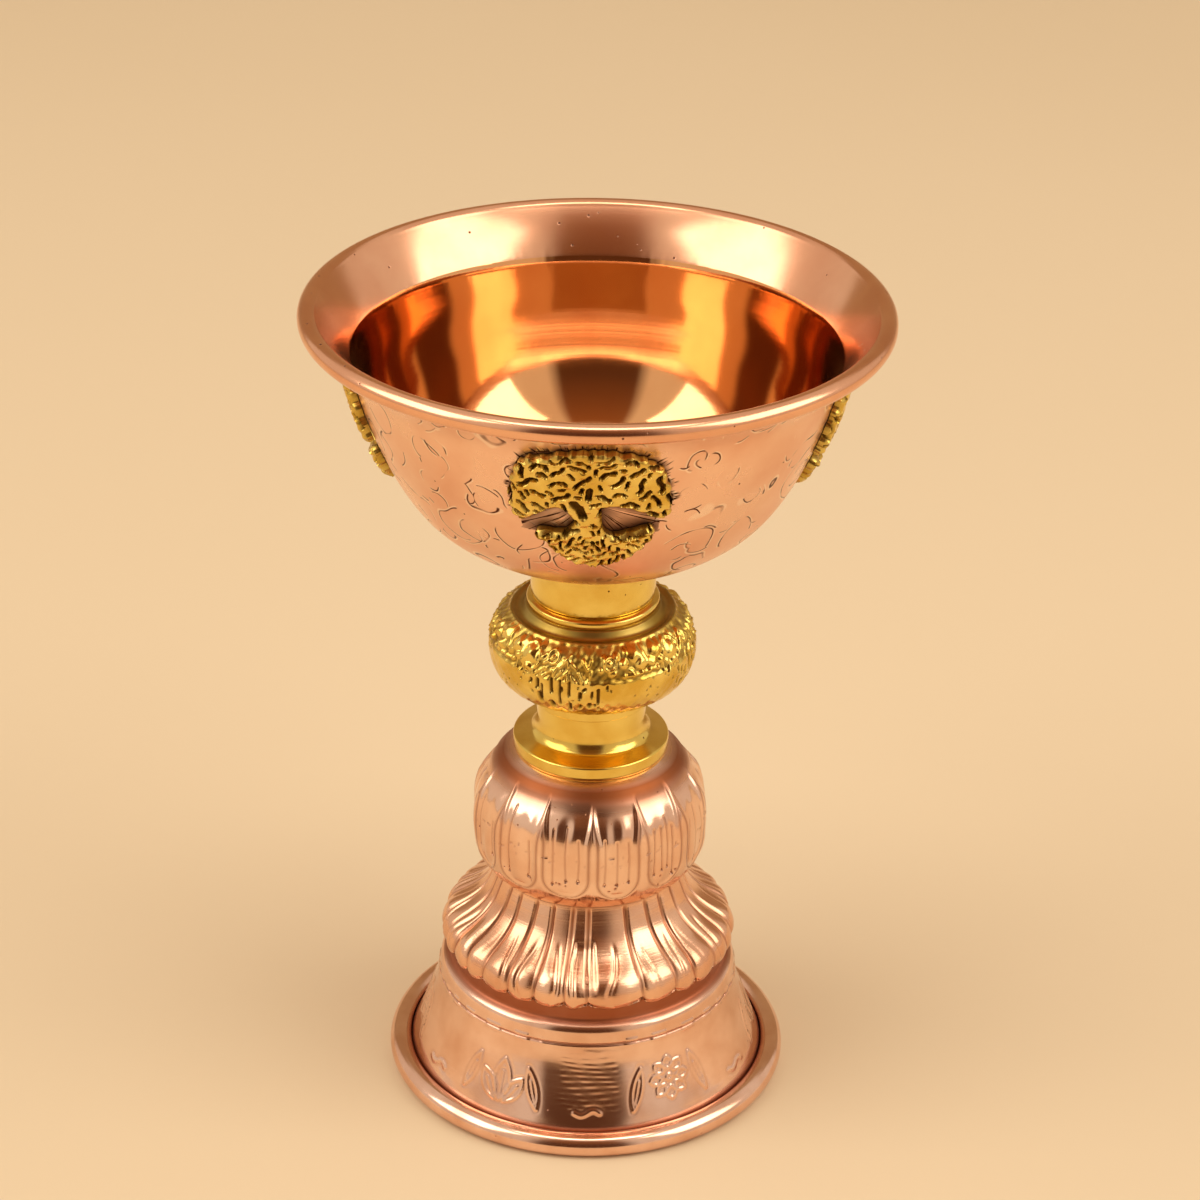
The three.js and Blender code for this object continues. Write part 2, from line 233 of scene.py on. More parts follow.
def soften(path, corner, reach, count=7):
    """A path with the corner at one place of its list rounded, over reach mm each way."""
    path = np.asarray(path, float)
    length = np.r_[0, np.cumsum(np.hypot(*np.diff(path, axis=0).T))]
    middle = length[corner]
    start, end = (np.array([np.interp(middle + way * reach, length, path[:, k]) for k in (0, 1)])
                  for way in (-1, 1))
    t = np.linspace(0, 1, count)[:, None]
    arch = (1 - t) ** 2 * start + 2 * t * (1 - t) * path[corner] + t ** 2 * end
    return np.r_[path[length < middle - reach], arch, path[length > middle + reach]]


def arc(centre, radius, start, end, count):
    """Points on a circle between two angles in degrees."""
    angle = np.radians(np.linspace(start, end, count))
    return np.array(centre) + radius * np.stack([np.cos(angle), np.sin(angle)], 1)


def out_of(outline):
    """Unit directions out of an outline that runs up the outside and down the inside."""
    along = np.gradient(outline, axis=0)
    along /= np.maximum(np.hypot(*along.T), 1e-9)[:, None]
    return np.stack([along[:, 1], -along[:, 0]], 1)


def ease(value):
    """0 below 0, 1 above 1 and smooth between."""
    value = np.clip(value, 0, 1)
    return value * value * (3 - 2 * value)


def dress(piece, node):
    """Rides a piece on the one body and hides the CAD node it stands for."""
    bpy.context.scene.collection.objects.link(piece)
    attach(piece, "root")
    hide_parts(node)


def make(node, vertices, faces, finishes, values=None, finish_of=None):
    """A smooth piece that stands for a CAD node, from points in mm with named values on them."""
    name = f"{node}_dressed"
    mesh = bpy.data.meshes.new(name)
    mesh.from_pydata(np.asarray(vertices) * MM, [], np.asarray(faces).tolist())
    for key, value in (values or {}).items():
        layer = mesh.attributes.new(key, "FLOAT", "POINT")
        layer.data.foreach_set("value", np.asarray(value, np.float32).ravel())
    for finish in finishes:
        mesh.materials.append(finish)
    if finish_of is not None:
        mesh.polygons.foreach_set("material_index", np.asarray(finish_of, np.int32))
    mesh.shade_smooth()
    piece = bpy.data.objects.new(name, mesh)
    dress(piece, node)
    return piece


def turned(node, outline, around, finishes, relief=None, wear_and_shade=None, finish_of=None):
    """A piece turned about the stem's axis, from an outline that closes on itself, or that starts
    and ends on the axis. Relief moves each point outward, with one row for each step round."""
    outline = np.asarray(outline, float)
    count = len(outline)
    solid = outline[0, 0] == 0 and outline[-1, 0] == 0
    out = out_of(outline) if solid else out_of(np.r_[outline[-1:], outline, outline[:1]])[1:-1]
    lift = np.zeros((around, count)) if relief is None else relief
    angle = np.linspace(0, 2 * math.pi, around, endpoint=False)[:, None]
    radius = outline[:, 0] + lift * out[:, 0]
    height = outline[:, 1] + lift * out[:, 1]
    vertices = np.stack([radius * np.sin(angle), -radius * np.cos(angle), height], -1).reshape(-1, 3)
    i, j = np.meshgrid(np.arange(around), np.arange(count - solid), indexing="ij")
    further, higher = (i + 1) % around, (j + 1) % count
    faces = np.stack([i * count + j, further * count + j, further * count + higher, i * count + higher], -1)
    kinds = None if finish_of is None else np.tile(finish_of, around)
    values = None if wear_and_shade is None else {"wear_and_shade": wear_and_shade}
    piece = make(node, vertices, faces.reshape(-1, 4), finishes, values, kinds)
    if solid:
        edit = bmesh.new()
        edit.from_mesh(piece.data)
        bmesh.ops.remove_doubles(edit, verts=[v for v in edit.verts if v.co.xy.length < 1e-6], dist=1e-6)
        edit.to_mesh(piece.data)
        edit.free()
    return piece


bowl_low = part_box("bowl")[0][2] / MM
bowl_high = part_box("bowl")[1][2] / MM
rim_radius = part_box("bowl")[1][0] / MM
rim_centre = np.array([rim_radius - RIM_BEAD, bowl_high - RIM_BEAD])
roll_end = 90 + LIP_ANGLE - 360 + math.degrees(math.acos((RIM_BEAD - SHEET - ROLL_GAP) / RIM_BEAD))
lip_slope = np.array([math.cos(math.radians(LIP_ANGLE)), math.sin(math.radians(LIP_ANGLE))])
lip_end = arc(rim_centre, RIM_BEAD - SHEET, 90 + LIP_ANGLE, 90 + LIP_ANGLE, 1)[0]
lip_start = lip_end - LIP_RUN * lip_slope
wall = [(SEAT_RADIUS + (WALL_RADIUS - SEAT_RADIUS) * a, bowl_low + WALL_HEIGHT * h) for a, h in WALL_SHAPE]
wall = curve_through(wall + [lip_start], WALL_STEPS)
along_lip = np.linspace(0, 1, LIP_STEPS)[:, None]
lip = np.linspace(lip_start, lip_end, LIP_STEPS)
lip += LIP_BOW * 4 * (along_lip * along_lip[::-1]) * [-lip_slope[1], lip_slope[0]]
lip = lip[1:]
bowl_side = soften(np.r_[wall, lip], len(wall) - 1, LIP_CORNER, CORNER_STEPS)
seat = np.stack([np.linspace(0, SEAT_RADIUS, SEAT_STEPS), np.full(SEAT_STEPS, bowl_low)], 1)
outside = soften(np.r_[seat, bowl_side[1:]], len(seat) - 1, SEAT_CORNER)
outside[0, 0] = 0
inside = (outside - SHEET * out_of(outside))[::-1]
inside[-1, 0] = 0
roll_inner = arc(rim_centre, RIM_BEAD - SHEET, 90 + LIP_ANGLE, roll_end, 16)[1:]
roll_outer = arc(rim_centre, RIM_BEAD, roll_end, 90 + LIP_ANGLE, BEAD_STEPS)
outline = np.r_[outside, roll_inner, roll_outer, inside[1:]]
lip_from = len(outside) + len(roll_inner)
corner_at = lip_from + len(roll_outer) + int(LIP_RUN / np.hypot(*(lip[1] - lip[0]))) + 4

# Chatter from the spinning tool, random round the bowl, breaks the light on the inner corner
draw = np.random.default_rng(3)
ripple = np.convolve(np.tile(draw.normal(0, 1, BOWL_AROUND), 3), [0.25, 0.5, 0.25], "same")
ripple = ripple[BOWL_AROUND:2 * BOWL_AROUND, None]
to_corner = np.hypot(*(outline - outline[corner_at]).T)
inner = np.arange(len(outline)) > lip_from + len(roll_outer)
relief = CHATTER * ripple * np.exp(-(to_corner / CHATTER_REACH) ** 2) * inner
finish_of = np.zeros(len(outline) - 1, int)
finish_of[:len(outside) - 1] = 1
finish_of[len(outside) - 1:corner_at - 3] = 2


def per(size):
    """The scale of a pattern with features size mm apart, on coordinates in metres."""
    return 1 / (size * MM)


def source(shader, name):
    """The output that feeds a shader's input."""
    return shader.inputs[name].links[0].from_socket


def metal(name, bright, dull, deep, roughness, patch, line=0.4, pit_gap=3.0, pit=0.12, dent=0.02):
    """A metal from bright to dull in patches, deep in its pits and where the mesh marks wear and
    painted shade. Fine turned lines run round the stem's axis. All but the colours are in mm."""
    material = new_material(name)
    tree, shader = shading(material)
    place = put(tree, "TexCoord").outputs["Object"]
    patches = put(tree, "TexNoise", {"Vector": place, "Scale": per(patch), "Detail": 5.0}).outputs["Fac"]
    share = put(tree, "MapRange", {0: patches, 1: 0.36, 2: 0.64}).outputs[0]
    colour = put(tree, "Mix", {0: share, 6: linear(bright), 7: linear(dull)}, data_type="RGBA").outputs[2]
    dots = put(tree, "TexVoronoi", {"Vector": place, "Scale": per(pit_gap)}).outputs
    chance = put(tree, "SeparateColor", {0: dots["Color"]}).outputs[0]
    size = put(tree, "Math", {0: chance, 1: pit / pit_gap}, operation="MULTIPLY").outputs[0]
    half = put(tree, "Math", {0: size, 1: 0.5}, operation="MULTIPLY").outputs[0]
    hole = put(tree, "MapRange", {0: dots["Distance"], 1: half, 2: size, 3: 1.0, 4: 0.0}).outputs[0]
    wear_and_shade = put(tree, "Attribute", attribute_name="wear_and_shade").outputs["Fac"]
    mark = put(tree, "Math", {0: wear_and_shade, 1: hole}, operation="MAXIMUM").outputs[0]
    deeper = put(tree, "Mix", {0: mark, 6: colour, 7: linear(deep)}, data_type="RGBA")
    feed(shader, "Base Color", deeper.outputs[2])
    rough = put(tree, "MapRange", {0: patches, 1: 0.3, 2: 0.7, 3: roughness * 0.85, 4: roughness * 1.2})
    rougher = put(tree, "Math", {0: mark, 1: 0.3, 2: rough.outputs[0]}, operation="MULTIPLY_ADD")
    feed(shader, "Roughness", rougher.outputs[0])
    shader.inputs["Metallic"].default_value = 1.0
    axes = put(tree, "SeparateXYZ", {0: place}).outputs
    flat = put(tree, "CombineXYZ", {0: axes[0], 1: axes[1]}).outputs[0]
    radius = put(tree, "VectorMath", {0: flat}, operation="LENGTH").outputs["Value"]
    section = put(tree, "CombineXYZ", {0: radius, 1: axes[2]}).outputs[0]
    lines = put(tree, "TexNoise", {"Vector": section, "Scale": per(line), "Detail": 2.0}).outputs["Fac"]
    height = put(tree, "Math", {0: hole, 1: -4.0, 2: lines}, operation="MULTIPLY_ADD").outputs[0]
    feed(shader, "Normal", put(tree, "Bump", {"Height": height, "Distance": dent * MM}).outputs[0])
    return material


# Spun copper, buffed to a mirror: sharp reflections that deepen to orange as they bounce
copper_mirror = metal("copper_spun_mirror", "#F8BC84", "#F1B078", "#8A4A2A", 0.08, 16.0,
                      line=1.1, pit_gap=7.0, pit=0.16, dent=0.004)
# The tool's last pass left the wall's polish a few degrees steeper than the sheet. The tilt grows
# from the bottom's edge, so the wall shows the far side of the bowl and the bottom shows the room
POLISH_FROM = 112.0
POLISH_GROWS = 14.0
POLISH_TILT = 0.1
tree, shader = shading(copper_mirror)
place = put(tree, "TexCoord").outputs["Object"]
up = put(tree, "SeparateXYZ", {0: place}).outputs[2]
over = put(tree, "Math", {0: up, 1: 1 / MM, 2: -POLISH_FROM}, operation="MULTIPLY_ADD").outputs[0]
above = put(tree, "Math", {0: over, 1: 0.0}, operation="MAXIMUM").outputs[0]
growing = put(tree, "Math", {0: above, 1: POLISH_GROWS}, operation="MINIMUM").outputs[0]
slope = put(tree, "Math", {0: growing, 1: POLISH_TILT / 2 / POLISH_GROWS, 2: -POLISH_TILT},
            operation="MULTIPLY_ADD").outputs[0]
steady = put(tree, "Math", {0: above, 1: POLISH_TILT}, operation="MULTIPLY").outputs[0]
lean = put(tree, "Math", {0: growing, 1: slope, 2: steady}, operation="MULTIPLY_ADD").outputs[0]
tilt = put(tree, "Bump", {"Height": lean, "Distance": MM, "Normal": source(shader, "Normal")})
feed(shader, "Normal", tilt.outputs[0])
# Rolled copper edge, buffed and then handled: a long highlight broken by brown tarnish specks
copper_edge = metal("copper_rolled_edge", "#F4BC98", "#E8AA86", "#6A4030", 0.19, 14.0,
                    line=0.7, pit_gap=2.6, pit=0.3, dent=0.006)
# Raised copper left satin by fine abrasive: a broad soft sheen on a peach brown
copper_satin = metal("copper_satin_chased", "#FACDB0", "#F0B898", "#4A2413", 0.3, 13.0,
                     line=0.5, pit_gap=4.0, pit=0.26, dent=0.006)


def chased(tree, place, cell, warp, keep):
    """Arcs of uneven circles, one in each cell of a random pattern, kept in part. Returns the mask
    of the line's burr, for a painted highlight, and that of its cut, for painted shade. Sizes are in mm."""
    drift = put(tree, "TexNoise", {"Vector": place, "Scale": per(cell * 0.8), "Detail": 1.0})
    moved = put(tree, "VectorMath", {0: drift.outputs["Color"], 1: (warp * MM,) * 3, 2: place},
                operation="MULTIPLY_ADD")
    near = put(tree, "TexVoronoi", {"Vector": moved.outputs[0], "Scale": per(cell)}).outputs
    chance = put(tree, "SeparateColor", {0: near["Color"]}).outputs[0]
    size = put(tree, "MapRange", {0: chance, 3: 0.26, 4: 0.56}).outputs[0]
    past = put(tree, "Math", {0: near["Distance"], 1: size}, operation="SUBTRACT").outputs[0]
    off = put(tree, "Math", {0: past, 1: cell}, operation="MULTIPLY").outputs[0]
    parts = put(tree, "TexNoise", {"Vector": place, "Scale": per(cell * 0.6), "Detail": 0.0}).outputs["Fac"]
    kept = put(tree, "MapRange", {0: parts, 1: keep, 2: keep + 0.03}).outputs[0]
    lines = []
    for middle, half in ((CUT_WIDE * 0.8, CUT_WIDE * 1.2), (-CUT_WIDE * 0.4, CUT_WIDE * 0.9)):
        side = put(tree, "Math", {0: off, 1: middle}, operation="SUBTRACT").outputs[0]
        away = put(tree, "Math", {0: side}, operation="ABSOLUTE").outputs[0]
        line = put(tree, "MapRange", {0: away, 1: half * 0.4, 2: half, 3: 1.0, 4: 0.0}).outputs[0]
        lines.append(put(tree, "Math", {0: line, 1: kept}, operation="MULTIPLY").outputs[0])
    return lines


CUT_WIDE = 0.17
CUT_DEEP = 9.0
CHASING = ((13.0, 5.0, 0.46), (9.0, 4.0, 0.49), (6.5, 3.0, 0.53))
tree, shader = shading(copper_satin)
place = put(tree, "TexCoord").outputs["Object"]
height = source(shader, "Normal").node.inputs["Height"]
for cell, warp, keep in CHASING:
    # Each line is sunk by a bump, with a painted highlight on its burr and painted shade in its cut
    burr_highlight, groove = chased(tree, place, cell, warp, keep)
    shade = put(tree, "TexNoise", {"Vector": place, "Scale": per(3.0), "Detail": 0.0}).outputs["Fac"]
    strong = put(tree, "MapRange", {0: shade, 1: 0.36, 2: 0.56, 3: 0.3}).outputs[0]
    dark = put(tree, "Math", {0: groove, 1: strong}, operation="MULTIPLY").outputs[0]
    bare = source(shader, "Base Color")
    pale = put(tree, "Mix", {0: burr_highlight, 6: bare, 7: linear("#FFDDC4")}, data_type="RGBA").outputs[2]
    brown = put(tree, "Mix", {0: dark, 6: pale, 7: linear("#5A2C18")}, data_type="RGBA").outputs[2]
    feed(shader, "Base Color", brown)
    above = height.links[0].from_socket
    sunk = put(tree, "Math", {0: groove, 1: -CUT_DEEP, 2: above}, operation="MULTIPLY_ADD").outputs[0]
    tree.links.new(sunk, height)

# Painted shade, tinted orange and patchy, lies on the lowest part of the wall and is strongest at the bottom
UNDER_SHADE_LOW = 103.0
UNDER_SHADE_HIGH = 112.5
up = put(tree, "SeparateXYZ", {0: place}).outputs[2]
low = put(tree, "MapRange", {0: up, 1: UNDER_SHADE_LOW * MM, 2: UNDER_SHADE_HIGH * MM, 3: 1.5, 4: 0.0}).outputs[0]
cloud = put(tree, "TexNoise", {"Vector": place, "Scale": per(5.0), "Detail": 3.0}).outputs["Fac"]
under_shade = put(tree, "Math", {0: low, 1: cloud}, operation="MULTIPLY", use_clamp=True).outputs[0]
bare = source(shader, "Base Color")
tinted = put(tree, "Mix", {0: under_shade, 6: bare, 7: linear("#CB6E33")}, data_type="RGBA").outputs[2]
feed(shader, "Base Color", tinted)

bowl = turned("bowl", outline, BOWL_AROUND, [copper_mirror, copper_satin, copper_edge], relief,
              finish_of=finish_of)

# Trees
# Four flat castings of one brass tree, bent to the wall and soldered on. The crown and the roots
# are cut through with small leaf-shaped recesses, and flux has burnt dark hairs on the copper.
TREE_THICK = 1.65
TREE_SEAT = 0.12
TREE_STEP = 0.16
TREE_BEVEL = 0.8
RECESS_DEPTH = 0.9
RECESS_WALL = 0.5
RIDGE_LIFT = 0.25
LEAF_EDGE = 0.02
GRID_HALF = 13.2
GRID_LOW = 12.7
GRID_HIGH = 12.8
ROOTS_BELOW = -4.5
ROOT_LEAF_WIDE = 0.62
ROOT_LEAF_LONG = 0.8
ROOT_LEAF_GAP = 0.72
RIDGE_HALF = 0.75
SHARP_ANGLE = 55
TREE_OUTLINE = [
    (0.2, 12.2), (3.1, 12.1), (5.6, 11.3), (7.6, 10.9), (9.4, 9.6), (11.6, 7.9), (12.2, 5.1), (12.8, 2.7),
    (12.7, -0.3), (11.7, -1.9), (10.0, -1.4), (8.7, -0.6), (7.4, 0.1), (5.8, 1.0), (3.6, 1.4), (1.8, 0.7),
    (1.9, -1.5), (2.0, -3.8), (3.3, -5.3), (5.2, -4.9), (9.7, -3.4), (10.2, -5.1), (9.4, -6.6), (8.2, -8.5),
    (6.4, -10.0), (4.2, -11.4), (1.8, -12.2), (-0.1, -12.1), (-2.1, -11.7), (-4.0, -10.5), (-5.5, -9.2),
    (-6.4, -7.6), (-7.5, -6.7), (-8.9, -5.8), (-8.2, -4.6), (-6.4, -4.6), (-4.0, -4.8), (-2.5, -3.2),
    (-2.3, -1.6), (-4.7, 1.0), (-6.4, 0.3), (-7.8, -0.7), (-9.9, -2.6), (-11.1, -2.4), (-12.2, -1.1),
    (-12.8, 1.6), (-12.5, 4.3), (-12.2, 6.0), (-11.5, 8.3), (-10.5, 9.6), (-8.9, 10.4), (-7.5, 10.3),
    (-5.5, 11.3), (-3.3, 11.7),
]
TRUNK = [(0.1, -5.2), (0.0, -3.0), (0.2, -1.0), (0.5, 0.6)]
LEAF_CUTS = [
    ([(-2.4, 2.0), (-1.5, 0.9), (-1.0, -0.6)], 0.85), ([(0.0, 4.9), (-0.2, 3.1)], 0.55),
    ([(0.4, -1.9), (0.6, -2.7)], 0.22), ([(0.1, -2.4), (1.1, -2.5)], 0.22),
    ([(0.3, -3.6), (0.7, -4.4)], 0.26),
]
ROOT_RIDGE = [(-8.4, -5.3), (-5.4, -5.5), (-2.6, -5.1), (-0.5, -6.2), (1.6, -6.4), (4.0, -5.9), (9.3, -4.5)]

tree_low, tree_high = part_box("tree_front")
tree_middle = (tree_low[2] + tree_high[2]) / 2 / MM


def cut_corners(ring, times=2, share=0.22):
    """A closed outline with its corners cut again and again until it is round."""
    ring = np.array(ring, float)
    for _ in range(times):
        after = np.roll(ring, -1, 0)
        ring = np.stack([ring + (after - ring) * share, after + (ring - after) * share], 1).reshape(-1, 2)
    return ring


def depth_in(u, z, ring):
    """How far points lie inside a closed outline, in mm, and below 0 outside."""
    nearest = np.full(np.shape(u), np.inf)
    within = np.zeros(np.shape(u), bool)
    for (au, az), (bu, bz) in zip(ring, np.roll(ring, -1, 0)):
        du, dz = bu - au, bz - az
        t = np.clip(((u - au) * du + (z - az) * dz) / (du * du + dz * dz), 0, 1)
        nearest = np.minimum(nearest, np.hypot(u - au - t * du, z - az - t * dz))
        if dz:
            within ^= ((az > z) != (bz > z)) & (u < au + (z - az) * du / dz)
    return np.where(within, nearest, -nearest)


def trace(u, z, path, half, wrap=None):
    """1 on a path, falling to 0 at half mm from it. Wrap is how far u runs before it repeats."""
    best = np.zeros(np.broadcast(u, z).shape)
    for (au, az), (bu, bz) in zip(path, path[1:]):
        off = u - au
        if wrap:
            off = (off + wrap / 2) % wrap - wrap / 2
        du, dz = bu - au, bz - az
        t = np.clip((off * du + (z - az) * dz) / max(du * du + dz * dz, 1e-9), 0, 1)
        best = np.maximum(best, 1 - np.hypot(off - t * du, z - az - t * dz) / half)
    return best


def wander(start, heading, curl, flip, length, step):
    """A curved path. Its curl, in radians a mm, turns the other way at the middle if flip is true."""
    path = [np.array(start, float)]
    for k in range(max(1, round(length / step))):
        heading += curl * step * (-1 if flip and k * step > length / 2 else 1)
        path.append(path[-1] + step * np.array([math.cos(heading), math.sin(heading)]))
    return path


tree_ring = cut_corners(TREE_OUTLINE)
ring_bearing = np.arctan2(tree_ring[:, 0], tree_ring[:, 1])
tree_ring *= 1 + LEAF_EDGE * np.sin(41 * ring_bearing + 2 * np.sin(7 * ring_bearing))[:, None]
grid_u, grid_z = np.meshgrid(np.arange(-GRID_HALF, GRID_HALF, TREE_STEP),
                             np.arange(-GRID_LOW, GRID_HIGH, TREE_STEP), indexing="ij")
edge_depth = depth_in(grid_u, grid_z, tree_ring)


def depth_near(points):
    """The depth inside the tree's outline at points, read from the grid."""
    i = np.clip(((points[:, 0] + GRID_HALF) / TREE_STEP).round().astype(int), 0, grid_u.shape[0] - 1)
    j = np.clip(((points[:, 1] + GRID_LOW) / TREE_STEP).round().astype(int), 0, grid_u.shape[1] - 1)
    return edge_depth[i, j]


# Leaf recesses are thrown at random and kept where they stay clear of the edge and each other
draw = np.random.default_rng(11)
taken = [(*point, 0.3) for a, b in zip(TRUNK, TRUNK[1:]) for point in np.linspace(a, b, 8)]
cuts = list(LEAF_CUTS)
for path, half in cuts:
    taken += [(*point, half) for a, b in zip(path, path[1:]) for point in np.linspace(a, b, 5)]
taken = np.array(taken)
for shortest, longest, half, gap, tries in ((2.0, 3.2, 0.44, 0.27, 4000), (1.1, 2.0, 0.4, 0.25, 5000),
                                            (0.5, 1.0, 0.32, 0.24, 4000)):
    for _ in range(tries):
        start = draw.uniform((-12.9, -12.4), (12.9, 12.3))
        in_roots = start[1] < ROOTS_BELOW
        width = half * draw.uniform(0.8, 1.15) * (ROOT_LEAF_WIDE if in_roots else 1)
        centre = (0.3, -3.5) if in_roots else (0.3, -2.5)
        heading = math.atan2(start[1] - centre[1], start[0] - centre[0]) + draw.normal(0, 0.75)
        path = wander(start, heading, draw.uniform(0.35, 1.1) * draw.choice([-1, 1]), draw.random() < 0.45,
                      draw.uniform(shortest, longest) * (ROOT_LEAF_LONG if in_roots else 1), 0.25)
        points = np.array(path)
        if depth_near(points).min() < 0.1:
            continue
        clear = np.hypot(*(points[:, None] - taken[None, :, :2]).transpose(2, 0, 1)) - taken[:, 2] - width
        if clear.min() < gap * (ROOT_LEAF_GAP if in_roots else 1):
            continue
        cuts.append((path, width))
        taken = np.r_[taken, np.c_[points, np.full(len(points), width)]]

recess = np.zeros(grid_u.shape)
for path, half in cuts:
    recess = np.maximum(recess, trace(grid_u, grid_z, path, half))
ridge = trace(grid_u, grid_z, ROOT_RIDGE, RIDGE_HALF)
edge = np.clip(edge_depth / TREE_BEVEL, 0, 1)
uneven = sum(np.sin(grid_u * math.cos(t) * k + grid_z * math.sin(t) * k + 5 * t) for t, k in
             ((0.3, 2.1), (1.4, 2.7), (2.3, 3.3), (2.9, 1.7), (0.9, 4.1), (1.9, 4.7)))
face = TREE_THICK + 0.045 * uneven - 0.7 * (1 - edge) ** 2
face = face + RIDGE_LIFT * ease(ridge) - RECESS_DEPTH * ease(recess / RECESS_WALL)
wear_and_shade = np.maximum(ease(recess / 0.4), 0.3 * (1 - edge))

# Grid points just outside move onto the outline, so the edge is smooth
slope = np.stack(np.gradient(edge_depth, TREE_STEP), -1)
slope /= np.maximum(np.linalg.norm(slope, axis=-1, keepdims=True), 1e-6)
shift = np.minimum(edge_depth, 0)[..., None] * slope
flat_u, flat_z = grid_u - shift[..., 0], grid_z - shift[..., 1]
covered = edge_depth > 0
cells = covered[:-1, :-1] | covered[1:, :-1] | covered[1:, 1:] | covered[:-1, 1:]
index = np.arange(grid_u.size).reshape(grid_u.shape)
front = np.stack([index[:-1, :-1], index[1:, :-1], index[1:, 1:], index[:-1, 1:]], -1)[cells]
steps = np.stack([front, np.roll(front, -1, 1)], -1).reshape(-1, 2)
keys = steps[:, 0] * grid_u.size + steps[:, 1]
alone = ~np.isin(keys, steps[:, 1] * grid_u.size + steps[:, 0])
a, b = steps[alone].T
size = grid_u.size
sides = np.stack([a, a + size, b + size, b], -1)
faces = np.r_[front, front[:, ::-1] + size, sides]

side_out = out_of(bowl_side)
wall_z = flat_z + tree_middle
wall_r = np.interp(wall_z, bowl_side[:, 1], bowl_side[:, 0])
out_r = np.interp(wall_z, bowl_side[:, 1], side_out[:, 0])
out_z = np.interp(wall_z, bowl_side[:, 1], side_out[:, 1])
back_y = -np.sqrt(wall_r ** 2 - flat_u ** 2)


def on_wall(lift):
    """Points of the tree's grid, lift mm off the bowl's wall."""
    return np.stack([flat_u + lift * out_r * flat_u / wall_r, back_y + lift * out_r * back_y / wall_r,
                     wall_z + lift * out_z], -1).reshape(-1, 3)


vertices = np.r_[on_wall(TREE_SEAT + face), on_wall(TREE_SEAT + 0 * face)]
# The back copy of the grid takes half the deep colour, so the side walls darken towards the bowl: painted
# shade
wear_and_shade = np.r_[wear_and_shade.ravel(), np.full(size, 0.5)]
used = np.unique(faces)
number = np.zeros(len(vertices), int)
number[used] = np.arange(len(used))

# Cast brass, buffed on its face: warm yellow, with brown wax and tarnish left in the recesses
brass_cast = metal("brass_cast_buffed", "#F4D676", "#DEB64E", "#54380E", 0.19, 5.0,
                   line=0.8, pit_gap=1.6, pit=0.14, dent=0.012)
tree_front = make("tree_front", vertices[used], number[faces], [brass_cast],
                  {"wear_and_shade": wear_and_shade[used]})
tree_front.data.set_sharp_from_angle(angle=math.radians(SHARP_ANGLE))
for quarter, way in ((1, "right"), (2, "back"), (3, "left")):
    piece = bpy.data.objects.new(f"tree_{way}_dressed", tree_front.data)
    piece.rotation_euler.z = math.radians(90 * quarter)
    dress(piece, f"tree_{way}")

# Soldering has burnt flux onto the copper: a brown stain close round each tree, denser at the
# top of the crown and in the two gaps over the roots, with dark hairs that stand off its edge
SOOT_REACH = 3.2
HAIR_PITCH = 0.5
points = np.empty(len(bowl.data.vertices) * 3)
bowl.data.vertices.foreach_get("co", points)
x, y, z = points.reshape(-1, 3).T / MM
angle = np.arctan2(x, -y)
from_tree = (angle + math.pi / 4) % (math.pi / 2) - math.pi / 4
u, v = np.hypot(x, y) * np.sin(from_tree), z - tree_middle
close = (np.abs(u) < 17) & (np.abs(v) < 16) & (np.hypot(x, y) > 30)
gap = np.full(len(u), 9.0)
gap[close] = -depth_in(u[close], v[close], tree_ring)
bearing = np.degrees(np.arctan2(u, v - 1.0))
burnt = 0.45 + 0.55 * np.exp(-((bearing + 42) / 30) ** 2) + 0.5 * np.exp(-((bearing - 62) / 28) ** 2)
burnt = np.where((v < 2.5) & (v > -6) & (np.abs(u) < 11), 4.0, burnt)
for key, value in (("off_tree", gap * MM), ("round_tree", np.radians(bearing) * 12 * MM), ("burnt", burnt)):
    layer = bowl.data.attributes.new(key, "FLOAT", "POINT")
    layer.data.foreach_set("value", value.astype(np.float32))
tree, shader = shading(copper_satin)
off, about, burn = (put(tree, "Attribute", attribute_name=key).outputs["Fac"]
                    for key in ("off_tree", "round_tree", "burnt"))
slow = put(tree, "Math", {0: off, 1: 0.16}, operation="MULTIPLY").outputs[0]
strand = put(tree, "CombineXYZ", {0: about, 1: slow}).outputs[0]
hairs = put(tree, "TexNoise", {"Vector": strand, "Scale": per(HAIR_PITCH), "Detail": 1.0}).outputs["Fac"]
thin = put(tree, "MapRange", {0: hairs, 1: 0.54, 2: 0.62}).outputs[0]
reach = put(tree, "TexNoise", {"Vector": strand, "Scale": per(2.2), "Detail": 0.0}).outputs["Fac"]
far = put(tree, "Math", {0: reach, 1: SOOT_REACH * MM}, operation="MULTIPLY").outputs[0]
farthest = put(tree, "Math", {0: far, 1: burn}, operation="MULTIPLY").outputs[0]
left = put(tree, "Math", {0: off, 1: farthest}, operation="DIVIDE").outputs[0]
shown = put(tree, "MapRange", {0: left, 1: 0.55, 2: 1.0, 3: 1.0, 4: 0.0}).outputs[0]
hair = put(tree, "Math", {0: thin, 1: shown}, operation="MULTIPLY").outputs[0]
stain = put(tree, "MapRange", {0: left, 1: 0.0, 2: 0.6, 3: 0.85, 4: 0.0}).outputs[0]
soot = put(tree, "Math", {0: hair, 1: stain}, operation="MAXIMUM").outputs[0]
bare = source(shader, "Base Color")
sooted = put(tree, "Mix", {0: soot, 6: bare, 7: linear("#3E1C10")}, data_type="RGBA").outputs[2]
feed(shader, "Base Color", sooted)
rough = put(tree, "Math", {0: soot, 1: 0.25, 2: source(shader, "Roughness")}, operation="MULTIPLY_ADD")
feed(shader, "Roughness", rough.outputs[0])

